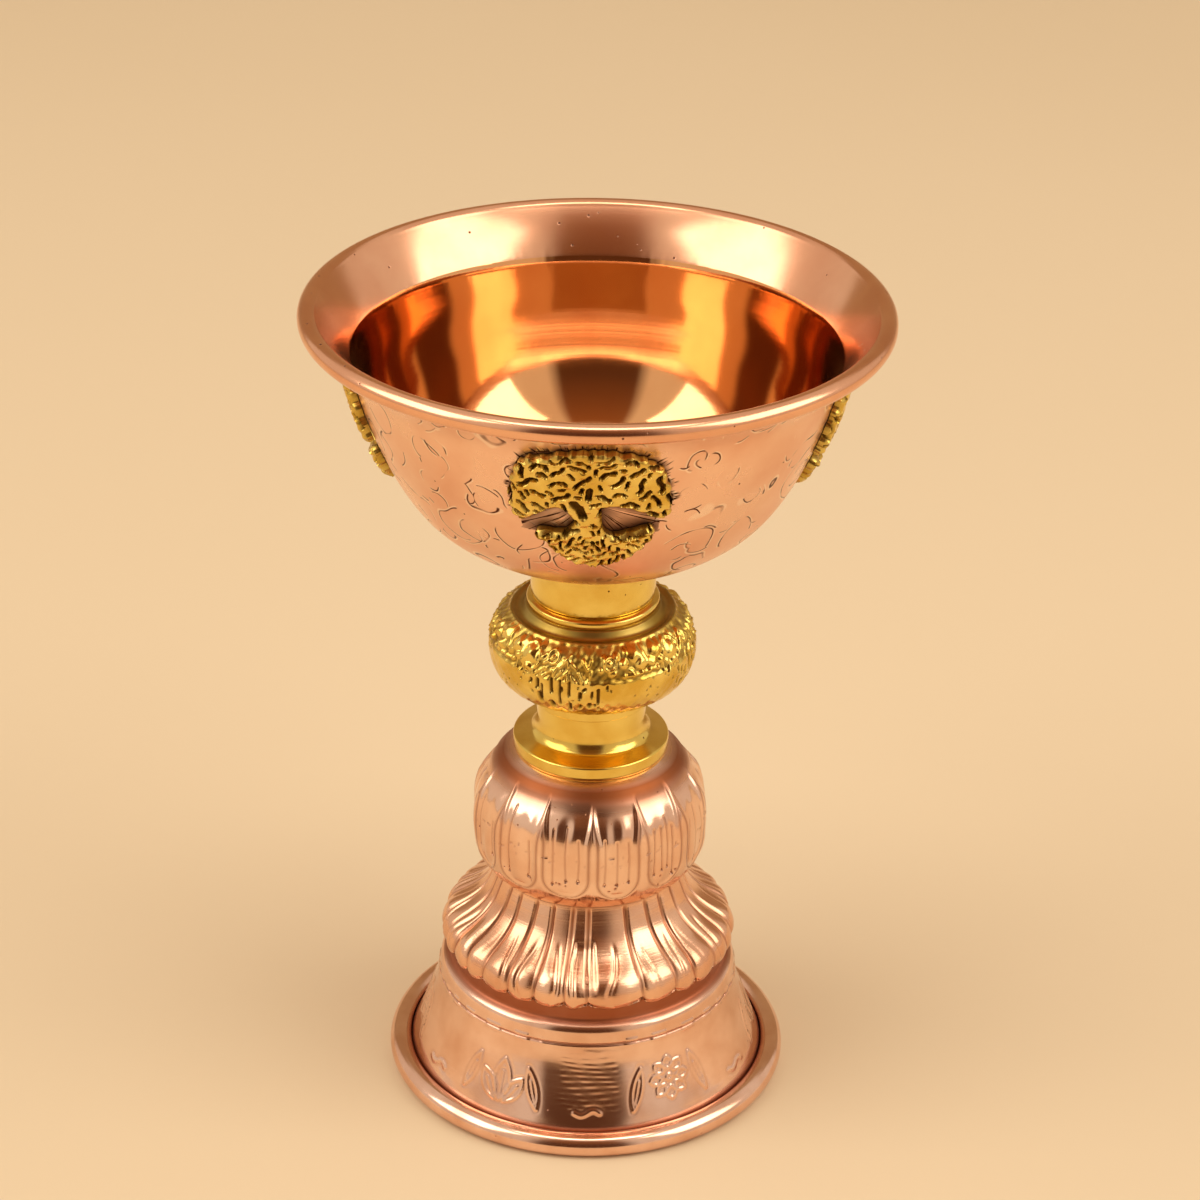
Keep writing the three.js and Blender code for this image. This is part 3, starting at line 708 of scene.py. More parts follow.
# Upper collar and ring
# A brass collar turned from bar and soldered under the seat. Its side opens at the top to a thin
# bright edge, and a loose brass ring lies below it on the knop.
BORE = 3.3
COLLAR_FLARE = 0.45
RING_ROUND = 0.8
COLLAR_AROUND = 256
COLLAR_SHORT = 0.06


def spans(node):
    """A node's lowest and highest level and its radius, in mm."""
    low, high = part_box(node)
    return low[2] / MM, high[2] / MM, high[0] / MM


def rounded(corners, count=5, hold=0.12):
    """A path from corners of radius, height and rounding. Each flat keeps a point near its ends, so
    that it shades flat."""
    points = np.array([corner[:2] for corner in corners], float)
    path = []
    for k, (here, (_, _, reach)) in enumerate(zip(points, corners)):
        before, after = points[k - 1] - here, points[(k + 1) % len(points)] - here
        ends = [here + way * min(reach / np.hypot(*way), 0.48) for way in (before, after)]
        t = np.linspace(0, 1, count)[:, None]
        bend = (1 - t) ** 2 * ends[0] + 2 * t * (1 - t) * here + t ** 2 * ends[1]
        holds = [end + way * min(hold / np.hypot(*way), 0.02) for way, end in zip((before, after), ends)]
        path += [holds[0], *bend, holds[1]]
    return np.array(path)


# Polished bar brass: warm yellow with fine turned lines, and brown flecks where it has tarnished
brass_turned = metal("brass_turned_polished", "#F4D878", "#E6C25E", "#6A4716", 0.17, 7.0,
                     line=0.5, pit_gap=3.2, pit=0.26, dent=0.006)
low, high, radius = spans("upper_collar")
collar = rounded([
    (BORE, low, 0.1), (radius - 0.2, low, 0.5), (radius, low + 1.6, 0.8), (radius - 0.1, high - 2.6, 1.2),
    (radius + COLLAR_FLARE, high - 0.5, 0.35), (radius + COLLAR_FLARE, high - COLLAR_SHORT, 0.1),
    (BORE, high - COLLAR_SHORT, 0.1),
])
turned("upper_collar", collar, COLLAR_AROUND, [brass_turned])
low, high, radius = spans("fillet_ring")
ring = rounded([
    (BORE, low, 0.1), (radius - 0.1, low, 0.25), (radius, low + 0.5, 0.3), (radius, high - 0.35, 0.6),
    (radius - RING_ROUND, high - 0.05, 0.3), (radius - RING_ROUND - 0.1, high, 0.08), (BORE, high, 0.1),
])
turned("fillet_ring", ring, COLLAR_AROUND, [brass_turned])

# Knop
# A hollow-looking bun of brass, sand cast with scrolls and rods round its shoulder and slots
# below, then buffed so that only the hollows stay brown. The pattern comes round four times.
KNOP_AROUND = 600
KNOP_STEPS = 108
COVE_STEPS = 14
KNOP_NECK = 10.2
KNOP_SHAPE = [(0, 0), (0.34, 0.05), (0.76, 0.18), (0.96, 0.36), (1, 0.55), (0.94, 0.71), (0.78, 0.85),
              (0.5, 0.945)]
KNOP_COVE = [(13.3, -1.25), (12.6, -1.15), (12.0, -0.5), (11.7, 0)]
KNOP_TURN = 90
KNOP_SUNK = 0.405
SCROLL_LIFT = 0.85
SCROLLS = [(-37, 0.78, 1.3), (-37.5, 0.665, 0.8), (-19, 0.86, 0.5), (41, 0.84, 1.0), (28, 0.86, 1.15),
           (29.5, 0.745, 0.9), (38, 0.745, 0.7), (15.5, 0.85, 0.6), (11.5, 0.79, 0.5), (19, 0.78, 0.7),
           (13, 0.69, 0.55), (6, 0.72, 0.45), (-44, 0.86, 0.8), (-46, 0.73, 0.65), (-30.5, 0.89, 0.5),
           (22, 0.89, 0.5), (24, 0.7, 0.45), (8, 0.84, 0.4)]
HOOP_LIFT = 0.5
HOOP_HALF = 0.42
HOOP_REACH = 4.0
HOOPS = [(-37, 0.77, 2.1), (-22, 0.82, 1.0), (11.5, 0.78, 1.05)]
ROD_COUNT = 13
ROD_FIRST = -33
ROD_PITCH = 3.0
ROD_HALF = 0.42
ROD_LEFT_OUT = 0.22
ROD_ROWS = ((0.6, 0.7), (0.735, 0.83))
STALK_LIFT = 0.45
STALK_HALF = 0.5
STALKS = [(33.5, 0.74, 0.9), (45.5, 0.6, 0.9), (48.5, 0.56, 0.88), (52, 0.6, 0.9), (56, 0.62, 0.86)]
CORD_LIFT = 0.32
CORD_HALF = 0.5
CORD_LEVEL = 0.655
CORD_BEAD = 0.6
SLOT_DEPTH = 0.5
SLOTS = [(-30, 0.46, 0.56, 0.45), (-29, 0.3, 0.36, 0.6), (-26.5, 0.34, 0.5, 0.4), (-22, 0.44, 0.6, 0.5),
         (-21, 0.26, 0.3, 0.7), (-16, 0.3, 0.56, 0.34), (-15, 0.48, 0.5, 0.6), (-11, 0.22, 0.3, 0.5),
         (-10, 0.42, 0.6, 0.42), (-5.5, 0.4, 0.46, 0.55), (-4, 0.26, 0.3, 0.4), (-2, 0.5, 0.52, 0.5),
         (0.5, 0.3, 0.34, 0.6), (1.5, 0.42, 0.48, 0.4), (5.6, 0.34, 0.52, 0.36), (3.4, 0.3, 0.33, 0.4),
         (9, 0.52, 0.54, 0.35), (-34, 0.5, 0.54, 0.4), (-33, 0.38, 0.4, 0.3)]
PIT_COUNT = 26
SHOULDER_FROM = 0.57
SHOULDER_TO = 0.945
COVE_SHADE = 0.6


def bearings(around):
    """The bearings in degrees of a turned piece's rows, as a column."""
    return np.degrees(np.linspace(0, 2 * math.pi, around, endpoint=False))[:, None]


def strokes_on(turned_by, height, radius):
    """A function that marks strokes on a turned piece: 1 on a path, falling to 0 at half mm from
    it. A path is in mm round the piece at its radius and in mm up."""
    per_degree = math.radians(1) * radius
    return lambda path, half: trace(turned_by * per_degree, height, path, half, 360 * per_degree)


def waves(turned_by, height, size, kinds):
    """Shallow waves round a turned piece, each by how many go round it and how it leans."""
    return sum(size * np.sin(math.radians(n) * turned_by + height * lean + n) for n, lean in kinds)


low, high, radius = spans("knop")
side = [(KNOP_NECK + (radius - KNOP_NECK) * a, low + (high - low) * h) for a, h in KNOP_SHAPE]
side = curve_through(side, KNOP_STEPS)
cove = curve_through([side[-1] + (-0.35, -0.1)] + [(r, high + h) for r, h in KNOP_COVE], COVE_STEPS)
outline = np.r_[[(BORE, low), (KNOP_NECK - 0.4, low)], side, cove, [(BORE, high)]]
height = outline[:, 1][None, :] - low
share = height / (high - low)
per_degree = math.radians(1) * radius
turned_by = (bearings(KNOP_AROUND) + 45) % 360 - 45
stroke = strokes_on(turned_by, height, radius)


def on_knop(angle, amount):
    """A place on the knop, by its bearing and its share of the knop's height."""
    return angle * per_degree, amount * (high - low)


draw = np.random.default_rng(21)
lift = np.zeros((KNOP_AROUND, len(outline)))
gouge = np.zeros(lift.shape)
for start_at in range(0, 360, KNOP_TURN):
    for angle, level, size in SCROLLS:
        at = on_knop(angle + start_at + draw.normal(0, 0.5), level + draw.normal(0, 0.006))
        boss = stroke([at, (at[0] + draw.normal(0, 0.3), at[1])], size * 1.35)
        lift = np.maximum(lift, SCROLL_LIFT * min(size, 1) * np.sqrt(ease(boss)))
    for angle, level, size in HOOPS:
        at = on_knop(angle + start_at, level)
        away = (1 - stroke([at, at], HOOP_REACH)) * HOOP_REACH
        hoop = ease(1 - np.abs(away - size) / HOOP_HALF) * (away < HOOP_REACH - 0.1)
        lift = np.maximum(lift, HOOP_LIFT * hoop)
    for k in range(ROD_COUNT):
        angle = ROD_FIRST + ROD_PITCH * k + start_at + draw.normal(0, 0.4)
        lean = draw.normal(0.15, 0.4) + 0.09 * (6 - k)
        for bottom, top in ROD_ROWS:
            if draw.random() < ROD_LEFT_OUT:
                continue
            foot_at = on_knop(angle, bottom + draw.normal(0, 0.01))
            top_at = on_knop(angle, top + draw.normal(0, 0.015))
            rod = stroke([(foot_at[0] - lean, foot_at[1]), (top_at[0] + lean, top_at[1])], ROD_HALF)
            lift = np.maximum(lift, draw.uniform(0.3, 0.55) * ease(rod))
    for angle, bottom, top in STALKS:
        sway = [(on_knop(angle + start_at, s)[0] + 0.28 * math.sin(24 * s + angle), on_knop(0, s)[1])
                for s in np.linspace(bottom, top, 7)]
        lift = np.maximum(lift, STALK_LIFT * ease(stroke(sway, STALK_HALF)))
    cord = [on_knop(angle + start_at, CORD_LEVEL + 0.0012 * (angle - 31)) for angle in np.arange(20, 43, 2.6)]
    lift = np.maximum(lift, CORD_LIFT * ease(stroke(cord, CORD_HALF)))
    for at in cord[::2]:
        lift = np.maximum(lift, HOOP_LIFT * np.sqrt(ease(stroke([at, at], CORD_BEAD))))
    for angle, bottom, top, half in SLOTS:
        at = on_knop(angle + start_at + draw.normal(0, 0.5), 0)[0]
        low_end = (at + draw.normal(0, 0.12), on_knop(0, bottom)[1])
        high_end = (at, on_knop(0, top + draw.normal(0, 0.02))[1])
        gouge = np.maximum(gouge, ease(1.3 * stroke([low_end, high_end], half * draw.uniform(0.8, 1.15))))
    for _ in range(PIT_COUNT):
        at = on_knop(draw.uniform(-45, 45) + start_at, draw.uniform(0.1, 0.6))
        gouge = np.maximum(gouge, ease(stroke([at, at], draw.uniform(0.18, 0.34))))
shoulder = ease((share - SHOULDER_FROM) / 0.06) * ease((SHOULDER_TO - share) / 0.03)
along = np.zeros(len(outline))
along[2:2 + len(side)] = np.sin(np.linspace(0, math.pi, len(side))) ** 0.3
ground = shoulder * (1 - ease(lift / 0.3))
uneven = waves(turned_by, height, 0.05, ((18, 1.9), (31, -1.2), (47, 2.7), (64, -3.1)))
relief = (lift - KNOP_SUNK * shoulder - SLOT_DEPTH * gouge + uneven * (0.4 + shoulder)) * along
wear_and_shade = np.maximum(gouge, ground * 0.62) * along
# The cove under the ring takes the deep colour as painted shade
wear_and_shade[:, len(side):] = COVE_SHADE
turned("knop", outline, KNOP_AROUND, [brass_cast], relief, wear_and_shade)

# Neck ring and lower collar
# Two more turned brass pieces. The collar ends in a sloped flange that is clamped down on the
# dome, and the ring above it shows only as a faint step.
FLANGE_EDGE = 2.4
FLANGE_RISE = 3.3
COLLAR_FOOT = 1.5
COLLAR_RADIUS = 9.6
low, high, radius = spans("neck_ring")
ring = rounded([(BORE, low, 0.1), (radius, low, 0.18), (radius, high, 0.2), (BORE, high, 0.1)])
turned("neck_ring", ring, COLLAR_AROUND, [brass_turned])
low, high, radius = spans("lower_collar")
collar = rounded([
    (BORE, low, 0.1), (radius - 0.15, low, 0.2), (radius, low + 0.4, 0.2), (radius, low + FLANGE_EDGE, 0.35),
    (COLLAR_RADIUS + 1.0, low + FLANGE_RISE, 0.5), (COLLAR_RADIUS, low + FLANGE_RISE + COLLAR_FOOT, 1.3),
    (COLLAR_RADIUS, high, 0.25), (BORE, high, 0.1),
])
turned("lower_collar", collar, COLLAR_AROUND, [brass_turned])

# Dome
# Copper spun to a cup and set mouth down. Fourteen petals are chased into it between raised ribs,
# with veins that end in punched dots. Shade is painted on the copper round the collar's flange.
DOME_AROUND = 784
DOME_STEPS = 120
DOME_SHEET = 0.8
DOME_RADIUS = 21.1
DOME_CROWN = 14.15
DOME_RIBS = 14
DOME_FIRST_RIB = 2.7
RIB_HALF = 0.8
PETAL_DEPTH = 0.42
PETAL_LOW = 3.2
PETAL_HIGH = 20.4
PETAL_ARCH = 4.2
PETAL_CLOSES = 13.0
FURROW_HALF = 0.3
FURROW_DEPTH = 0.12
VEIN_HALF = 0.34
VEIN_DEPTH = 0.2
VEIN_SPREAD = 2.2
NICKS = 7
LOOSE_DOTS = 3
DOT_DEPTH = 0.3
DOME_SHAPE = [(0.497, 0), (0.76, 0.085), (0.94, 0.2), (1, 0.34), (1.0, 0.5), (0.86, 0.69), (0.52, 0.843),
              (0.2, 0.945)]
SHADE_FROM = 18.2
SHADE_RISE = 3.4
SHADE = 0.92


def shell(path, thick):
    """An outline from the outside of a sheet that runs up, and its inside thick mm behind."""
    return np.r_[path, (path - thick * out_of(path))[::-1]]


# Chased copper, polished over its ribs: peach with orange in the hollows
copper_polished = metal("copper_chased_polished", "#FAD4BC", "#EDBEA2", "#8C440E", 0.16, 9.0,
                        line=1.6, pit_gap=2.4, pit=0.2, dent=0.03)
low, high, _ = spans("dome")
side = [(DOME_CROWN + (DOME_RADIUS - DOME_CROWN) * a, low + (high - low) * h) for a, h in DOME_SHAPE]
side = curve_through(side, DOME_STEPS)
outline = shell(np.r_[side, [(DOME_CROWN - 0.6, high - 0.02), (BORE, high - 0.02)]], DOME_SHEET)
height = outline[:, 1][None, :] - low
per_degree = math.radians(1) * DOME_RADIUS
turned_by = bearings(DOME_AROUND)
stroke = strokes_on(turned_by, height, DOME_RADIUS)
pitch = 360 / DOME_RIBS
draw = np.random.default_rng(8)
petal = np.floor((turned_by - DOME_FIRST_RIB) / pitch).astype(int) % DOME_RIBS
offset = ((turned_by - DOME_FIRST_RIB) / pitch % 1 - 0.5) * pitch * per_degree
petal_wide = pitch * per_degree / 2 - RIB_HALF + draw.normal(0, 0.12, DOME_RIBS)[petal]
petal_foot = PETAL_LOW + draw.normal(0, 0.45, DOME_RIBS)[petal]
petal_top = PETAL_HIGH + draw.normal(0, 0.35, DOME_RIBS)[petal]
arched = np.clip((height - petal_foot) / PETAL_ARCH, 0, 1)
wide = petal_wide * np.sqrt(arched * (2 - arched))
wide = wide + (RIB_HALF + 0.3) * ease((height - PETAL_CLOSES) / (petal_top - PETAL_CLOSES))
inside_by = np.minimum(wide - np.abs(offset), (height - petal_foot) * 1.5)
furrow = np.exp(-(inside_by / FURROW_HALF) ** 2)
closing = 1 - ease((height - petal_top + 1.0) / 1.8)
relief = -PETAL_DEPTH * ease(inside_by / 1.1) * closing - FURROW_DEPTH * furrow * closing
uneven = waves(turned_by, height, 0.04, ((17, -0.5), (29, 0.4), (43, -0.3)))
relief = relief + uneven * ease((19.6 - height) / 3)
groove = np.zeros(relief.shape)
dots = np.zeros(relief.shape)
for k in range(DOME_RIBS):
    middle = (DOME_FIRST_RIB + (k + 0.5) * pitch) * per_degree
    for spot in np.linspace(-VEIN_SPREAD, VEIN_SPREAD, draw.integers(2, 5)):
        at = middle + spot + draw.normal(0, 0.15)
        top, end = draw.uniform(13, 18.5), draw.uniform(4.8, 7.2)
        vein = [(at, top), (at + draw.normal(0, 0.12), (top + end) / 2), (at, end)]
        groove = np.maximum(groove, ease(stroke(vein, VEIN_HALF)))
        dots = np.maximum(dots, ease(1.4 * stroke([vein[-1], vein[-1]], draw.uniform(0.3, 0.5))))
    for _ in range(NICKS):
        at = (middle + draw.uniform(-4.4, 4.4), draw.uniform(9.6, 12.4))
        end = (at[0] + draw.choice([0, 0.9]), at[1] + draw.choice([0, 0.3]))
        groove = np.maximum(groove, ease(stroke([at, end], FURROW_HALF)) * draw.uniform(0.5, 1))
    for _ in range(LOOSE_DOTS):
        at = (middle + draw.uniform(-3.2, 3.2), draw.uniform(2.8, 6.4))
        dots = np.maximum(dots, ease(stroke([at, at], draw.uniform(0.25, 0.45))))
outer = np.zeros(len(outline))
outer[:len(side)] = ease(np.linspace(0, len(side), len(side)) / 5)
relief = (relief - VEIN_DEPTH * groove - DOT_DEPTH * dots) * outer
wear_and_shade = np.maximum(0.55 * furrow * (inside_by > -0.5), np.maximum(0.35 * groove, dots)) * outer
# Painted shade round the collar's flange, deepest next to it
wear_and_shade = np.maximum(wear_and_shade, ease((height - SHADE_FROM) / SHADE_RISE) * SHADE * (outer > 0))
turned("dome", outline, DOME_AROUND, [copper_polished], relief, wear_and_shade)

# Skirt
# A flared copper collar round the dome's foot, chased in uneven flutes. They swell over its lower
# edge into lobes that almost touch the foot below.
SKIRT_AROUND = 784
SKIRT_STEPS = 120
SKIRT_SHEET = 0.8
SKIRT_NECK = 16.5
SKIRT_RADIUS = 26.4
SKIRT_TALL = 15.8
SKIRT_EDGE = 25.9
SKIRT_LOBES = 32
FIRST_LOBE = -7.5
FRONT_LOBE = (-5.6, 5.9)
LEAST_LOBE = 5.4
FRONT_HALF = 6.2
FRONT_DEPTH = 0.5
FLUTE_DEPTH = 0.72
FOLD_DEPTH = 0.4
FOLD_HALF = 0.42
LOBE_DROP = 0.55
LOBE_DROP_REACH = 1.6
SKIRT_SHAPE = [(1, 0.08), (0.99, 0.184), (0.889, 0.304), (0.657, 0.411), (0.374, 0.538), (0.192, 0.677),
               (0.081, 0.842), (0.012, 0.97), (0, 1.04)]


def from_front(turned_by):
    """How many degrees a bearing is from the front, on either side."""
    return np.abs((turned_by + 180) % 360 - 180)


low = spans("skirt")[0]
side = [(SKIRT_NECK + (SKIRT_RADIUS - SKIRT_NECK) * a, low + SKIRT_TALL * h) for a, h in SKIRT_SHAPE]
side = curve_through([(SKIRT_EDGE, low + 0.05)] + side, SKIRT_STEPS)
outline = shell(np.r_[side, [(SKIRT_NECK, low + SKIRT_TALL + 2.0)]], SKIRT_SHEET)
draw = np.random.default_rng(14)
edges = np.cumsum(1 + draw.normal(0, 0.2, SKIRT_LOBES))
edges = (edges / edges[-1] * 360 + FIRST_LOBE - edges[0] / edges[-1] * 360) % 360
edges = np.sort(np.r_[edges, FRONT_LOBE] % 360)
edges = edges[np.r_[True, np.diff(edges) > LEAST_LOBE]]
turned_by = bearings(SKIRT_AROUND)
share = np.clip((outline[:, 1] - low) / SKIRT_TALL, 0, 1)[None, :]
lobe = np.searchsorted(edges, turned_by, "right") % len(edges)
left = edges[lobe - 1]
width = (edges[lobe] - left) % 360
sway = np.sin(share * 3.1 + 2.4 * turned_by / 9) * 1.3 * (1 - share) * np.minimum(1, share * 4)
past_left = (turned_by + sway - left) % 360
across = np.where(past_left > 300, 0, np.clip(past_left / width, 0, 1))
skew = draw.uniform(-0.75, 0.75, len(edges))[lobe] * (1 - share)
leaning = across + skew * across * (1 - across)
lobe_wide = width * math.radians(1) * (SKIRT_NECK + (SKIRT_RADIUS - SKIRT_NECK) * (1 - share))
to_valley = np.minimum(across, 1 - across) * lobe_wide
pillow = np.sqrt(np.clip(1 - (2 * leaning - 1) ** 2, 0, 1)) ** draw.uniform(0.9, 1.9, len(edges))[lobe]
flat_top = ease(to_valley / 0.7)
swell = 1 - ease((share - draw.uniform(0.2, 0.36, len(edges))[lobe]) / 0.3)
fade = ease((1 - share) / 0.1)
strength = draw.uniform(0.6, 1.35, len(edges))[lobe]
relief = FLUTE_DEPTH * strength * (swell * (pillow - 0.8) + (1 - swell) * 0.5 * (flat_top - 1)) * fade
fold_at = draw.uniform(0.3, 0.7, len(edges))[lobe] + 0.1 * np.sin(share * 9 + 3 * lobe)
fold = np.exp(-((across - fold_at) * lobe_wide / FOLD_HALF) ** 2) * draw.uniform(0.1, 1, len(edges))[lobe]
relief = relief - FOLD_DEPTH * fold * ease((share - 0.02) / 0.1) * (1 - ease((share - 0.42) / 0.2))
front = (from_front(turned_by) < FRONT_HALF) * ease((FRONT_HALF - 0.2 - from_front(turned_by)) / 2.2)
relief = relief - FRONT_DEPTH * front * ease((share - 0.16) / 0.2) * (1 - ease((share - 0.55) / 0.1))
valley_shade = np.exp(-(to_valley / 0.3) ** 2)
outer = np.zeros(len(outline))
outer[:len(side)] = 1
# Painted shade in the valleys between the flutes, deeper towards the top, and a band of it at the top under
# the dome
wear_and_shade = valley_shade * outer * (0.3 + 0.5 * share) * fade
wear_and_shade = np.maximum(wear_and_shade, outer * 0.8 * ease((share - 0.94) / 0.05))
# Copper fluted and buffed by hand: the dome's copper with a softer, more orange finish
copper_fluted = metal("copper_fluted_buffed", "#F4C4A4", "#E4AC8A", "#8C440E", 0.23, 9.0, dent=0.03)
skirt = turned("skirt", outline, SKIRT_AROUND, [copper_fluted], relief * outer, wear_and_shade)

# Each lobe hangs a little lower at its middle
near_edge = np.exp(-((outline[:, 1][None, :] - low) / LOBE_DROP_REACH) ** 2)
points = np.empty(len(skirt.data.vertices) * 3)
skirt.data.vertices.foreach_get("co", points)
points[2::3] += (LOBE_DROP * MM * (1 - pillow) * near_edge).ravel()
skirt.data.vertices.foreach_set("co", points)
skirt.data.update()

# Foot
# A spun copper cone under a straight neck. Leaves, rosettes, buds and waves are pressed into it
# from behind, and its edge is rolled out and under round a wire.
FOOT_AROUND = 800
FOOT_SHEET = 0.8
FOOT_RADIUS = 36.2
FOOT_BEAD = 2.15
FOOT_REST = 0.25
FOOT_FLARE = 65.0
FOOT_LINE = 17.8
FOOT_NECK = 25.0
FOOT_BAND = 27.0
FOOT_MIDDLE = 29
CONE_SHAPE = [(31.95, 3.6), (30.45, 7.2), (28.6, 12.2), (27.5, 15.6), (FOOT_BAND, FOOT_LINE)]
STEP_SHAPE = [(-0.1, 0.12), (-0.35, 0.35), (-0.1, 0.6)]
BAND_SHAPE = [(FOOT_BAND, FOOT_LINE + 0.7), (26.85, 19.5), (26.6, 20.7), (26.1, 21.4), (25.2, 22.0),
              (FOOT_NECK, 23.2)]
ROLL_OUTER_STEPS = 56
ROLL_INNER_STEPS = 22
CONE_STEPS = 96
BAND_STEPS = 46
PATTERN_TURN = 60
PATTERN_RAISED = 0.2
PATTERN_PRESSED = 0.07
WAVE_AT = 2.5
WAVE_HIGH = 6.2
WAVE_REACH = 2.1
WAVE_RISE = 0.45
WAVE_LINE = 0.55
LEAF_FOOT = 6.0
LEAF_TOP = 13.2
LEAF_BOW = 0.85
LEAF_LINE = 0.34
VEIN_LINE = 0.22
SIDE_LEAVES = ((-14.5, -2.2), (18, 2.0))
FLOWER_AT = 32.5
BUD_LEAVES = ((0, 7.4, 1.6), (-3.0, 4.6, 1.2), (3.0, 4.6, 1.2))
ROSETTE_HIGH = 10.4
ROSETTE_EYE = 0.45
PETALS = 8
PETAL_FROM = 1.5
PETAL_TO = 3.7
PANEL_HALF = 11.5
STROKE_PITCH = 0.95
STROKE_DEPTH = 0.011
LINE_DEPTH = 0.16
low, high, _ = spans("foot")
bead = np.array([FOOT_RADIUS - FOOT_BEAD, FOOT_BEAD - FOOT_REST])
flare_end = arc(bead, FOOT_BEAD - FOOT_SHEET, -90 - FOOT_FLARE, -90 - FOOT_FLARE, 1)[0]
roll_end = 270 - FOOT_FLARE - math.degrees(math.acos((FOOT_BEAD - FOOT_SHEET - ROLL_GAP) / FOOT_BEAD))
roll_outer = arc(bead, FOOT_BEAD, -90 - FOOT_FLARE, roll_end, ROLL_OUTER_STEPS)
roll_outer[:, 1] = np.maximum(roll_outer[:, 1], 0)
roll_inner = arc(bead, FOOT_BEAD - FOOT_SHEET, roll_end, -90 - FOOT_FLARE, ROLL_INNER_STEPS)
cone = curve_through([flare_end] + CONE_SHAPE, CONE_STEPS)
step = [(FOOT_BAND + a, FOOT_LINE + h) for a, h in STEP_SHAPE]
band = curve_through(BAND_SHAPE + [(FOOT_NECK, high)], BAND_STEPS)
side = np.r_[cone, step, band]
outline = np.r_[roll_outer, roll_inner[1:-1], shell(side, FOOT_SHEET)]
first = len(roll_outer) + len(roll_inner) - 2
cone_end = first + len(cone)
band_from = cone_end + len(step)
height = outline[:, 1][None, :]
per_degree = math.radians(1) * FOOT_MIDDLE
turned_by = bearings(FOOT_AROUND)
stroke = strokes_on(turned_by, height, FOOT_MIDDLE)
draw = np.random.default_rng(5)
raised = np.zeros((FOOT_AROUND, len(outline)))
pressed = np.zeros(raised.shape)


def leaf(foot_at, tip, bow):
    """A closed leaf with a vein, pressed into the foot's cone: the strokes and their half widths."""
    t = np.linspace(0, 1, 11)[:, None]
    foot_at, tip = np.array(foot_at), np.array(tip)
    reach = tip - foot_at
    sideways = np.array([reach[1], -reach[0]]) / np.hypot(*reach)
    middle = foot_at + t * reach
    sides = [(middle + way * bow * sideways * 4 * t * (1 - t), LEAF_LINE) for way in (-1, 1)]
    return sides + [(middle[1:8], VEIN_LINE)]


# The pattern comes round six times: a low wave alone in a plain panel with a slender leaf on
# either side of it, then in turn a rosette and a bud with three broad leaves
for k in range(360 // PATTERN_TURN):
    start = PATTERN_TURN * k + draw.normal(0, 0.8)
    wave = [((start + WAVE_AT) * per_degree + WAVE_REACH * t, WAVE_HIGH + WAVE_RISE * math.sin(math.pi * t))
            for t in np.linspace(-1, 1, 14)]
    strokes = [(wave, WAVE_LINE)]
    for angle, lean in SIDE_LEAVES:
        foot_at = (start + angle) * per_degree
        strokes += leaf((foot_at, LEAF_FOOT), (foot_at + lean, LEAF_TOP + draw.normal(0, 0.3)), LEAF_BOW)
    middle = (start + FLOWER_AT) * per_degree
    if k % 2:
        for reach, rise, bow in BUD_LEAVES:
            foot_at = middle + reach * 0.3
            strokes += leaf((foot_at, LEAF_FOOT), (foot_at + reach, LEAF_FOOT + rise), bow)
    else:
        rays = [np.array([math.sin(t), math.cos(t)]) for t in np.linspace(0, 2 * math.pi, PETALS * 2 + 1)]
        centre = np.array([middle, ROSETTE_HIGH])
        strokes += [([centre + ray * ROSETTE_EYE for ray in rays], 0.4)]
        for ray in rays[:-1:2]:
            strokes += leaf(centre + ray * PETAL_FROM, centre + ray * PETAL_TO, LEAF_BOW)[:2]
    for path, half in strokes:
        raised = np.maximum(raised, ease(stroke(path, half * 1.35)))
        pressed = np.maximum(pressed, ease(stroke(path, half * 2.6)))
outer = np.zeros(len(outline))
place_up = np.arange(len(cone))
outer[first:cone_end] = ease((place_up - 14) / 12) * ease((len(cone) - 3 - place_up) / 4)
waver = np.zeros(raised.shape)
for count, size in ((7, 0.05), (13, 0.035), (22, 0.02)):
    bumpy = math.radians(count) * turned_by + draw.uniform(0, 6) + height * draw.uniform(0.1, 0.5)
    waver += size * np.sin(bumpy)
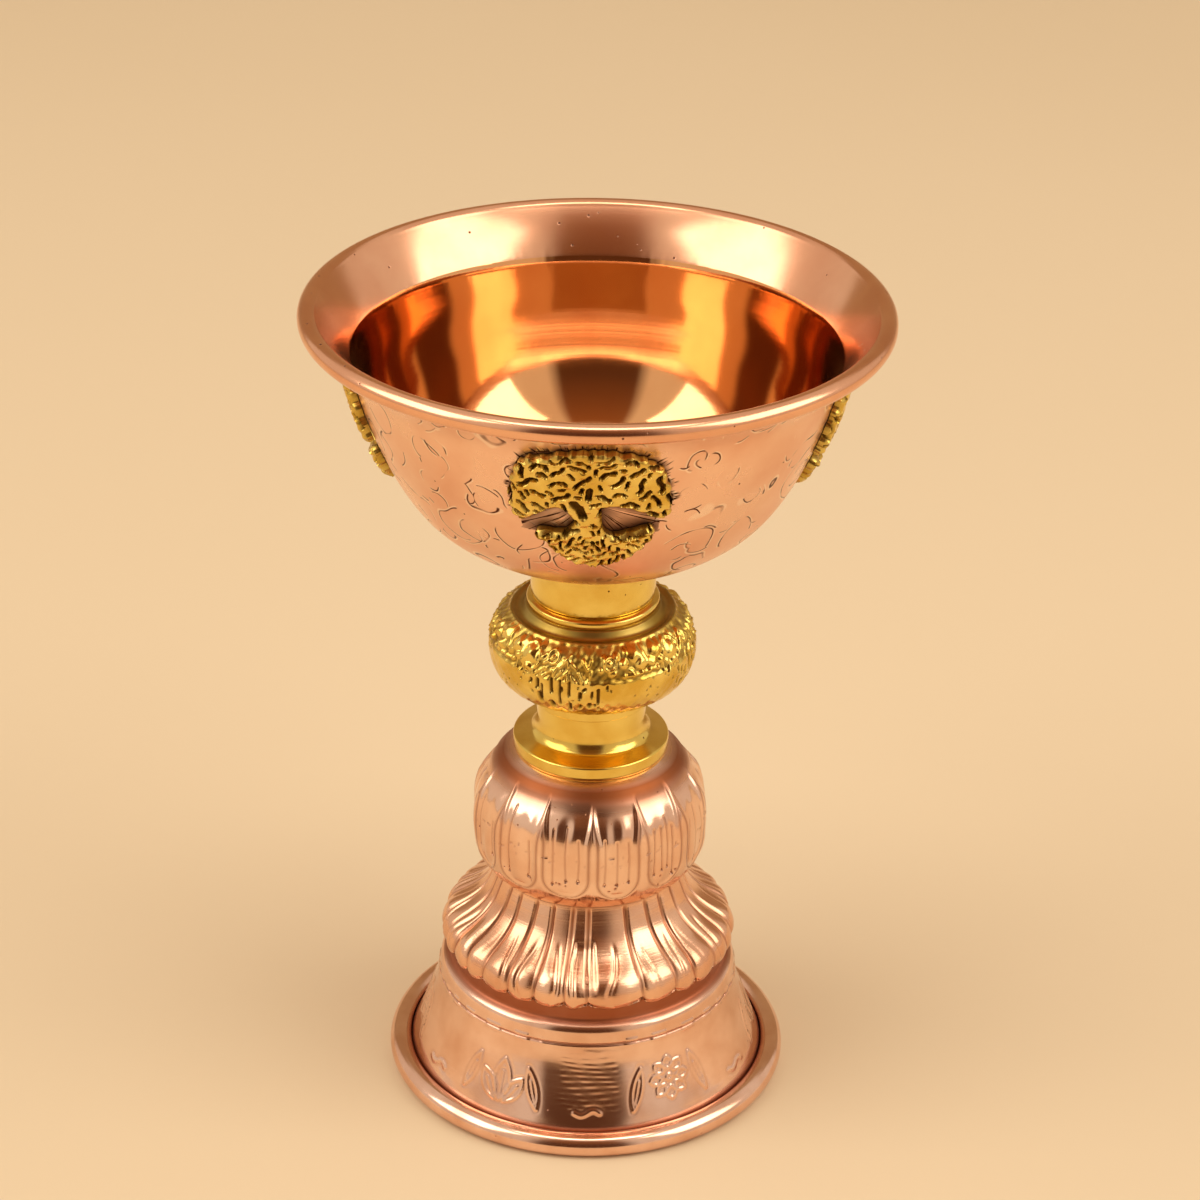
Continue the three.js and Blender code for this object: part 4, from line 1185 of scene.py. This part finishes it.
# Level strokes of the planishing hammer are left in the plain panels
from_panel = np.abs((turned_by - WAVE_AT + PATTERN_TURN / 2) % PATTERN_TURN - PATTERN_TURN / 2)
in_panel = ease((PANEL_HALF - from_panel) / 2.5) * ease((height - 5.0) / 1.5)
hammered = np.sin(2 * math.pi * height / STROKE_PITCH + 1.1 * np.sin(0.9 * height + 0.21 * turned_by))
waver += STROKE_DEPTH * hammered * in_panel * (0.6 + 0.4 * np.sin(0.8 * turned_by + 1.7 * height))
relief = (PATTERN_RAISED * raised - PATTERN_PRESSED * pressed + waver) * outer
# The line under the band is struck in short lengths, and left out at the very front
struck = ease(0.5 + 1.6 * np.sin(math.radians(37) * turned_by + 2.2 * np.sin(math.radians(5) * turned_by)))
relief[:, cone_end - 3:band_from + 3] += LINE_DEPTH * struck * ease((from_front(turned_by) - 12) / 8)
# Painted shade in the creases: where the cone curves into the bead it stands in for the bead's reflection,
# and it fills the struck line, the bead's turn under and the band's top under the skirt
crease_shade = np.zeros(len(outline))
crease_shade[first:cone_end] = 0.9 - 0.9 * ease((cone[:, 1] - 3.1) / 1.2)
crease_shade[cone_end:band_from] = 0.55
crease_shade[:len(roll_outer)] = 0.8 * ease((np.arange(len(roll_outer)) - len(roll_outer) + 4) / 4)
crease_shade[band_from:first + len(side)] = 0.85 * ease((band[:, 1] - 21.0) / 0.9)
wear_and_shade = np.maximum(0.3 * np.maximum(pressed - 1.3 * raised, 0) * outer, crease_shade)
# Copper pressed and planished: a softer polish than the dome's, pinkish brown, with orange painted shade in
# its creases
copper_pressed = metal("copper_pressed_planished", "#F6CEB8", "#E6B69A", "#96420F", 0.155, 8.0,
                       line=1.6, pit_gap=4.5, pit=0.2, dent=0.014)
turned("foot", outline, FOOT_AROUND, [copper_pressed], relief, wear_and_shade)

# Edge wires and fixings
# Two soft iron wires stiffen the rolled edges, and a steel tie rod, washer and nut clamp the stem
# to the dome. They show only from below. The wires are rusty, and the rest is zinc plated.
iron_wire = metal("iron_wire_rusty", "#6E6660", "#5B4C42", "#3A2416", 0.5, 2.0, pit_gap=1.2, pit=0.3)
steel_zinc = metal("steel_zinc_plated", "#B9BCBE", "#9DA1A6", "#4A4038", 0.38, 4.0, pit_gap=1.8, pit=0.14)
for node, finish in (("foot_wire", iron_wire), ("rim_wire", iron_wire), ("tie_rod", steel_zinc),
                     ("washer", steel_zinc), ("nut", steel_zinc)):
    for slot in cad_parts[node].material_slots:
        slot.link = "OBJECT"
        slot.material = finish
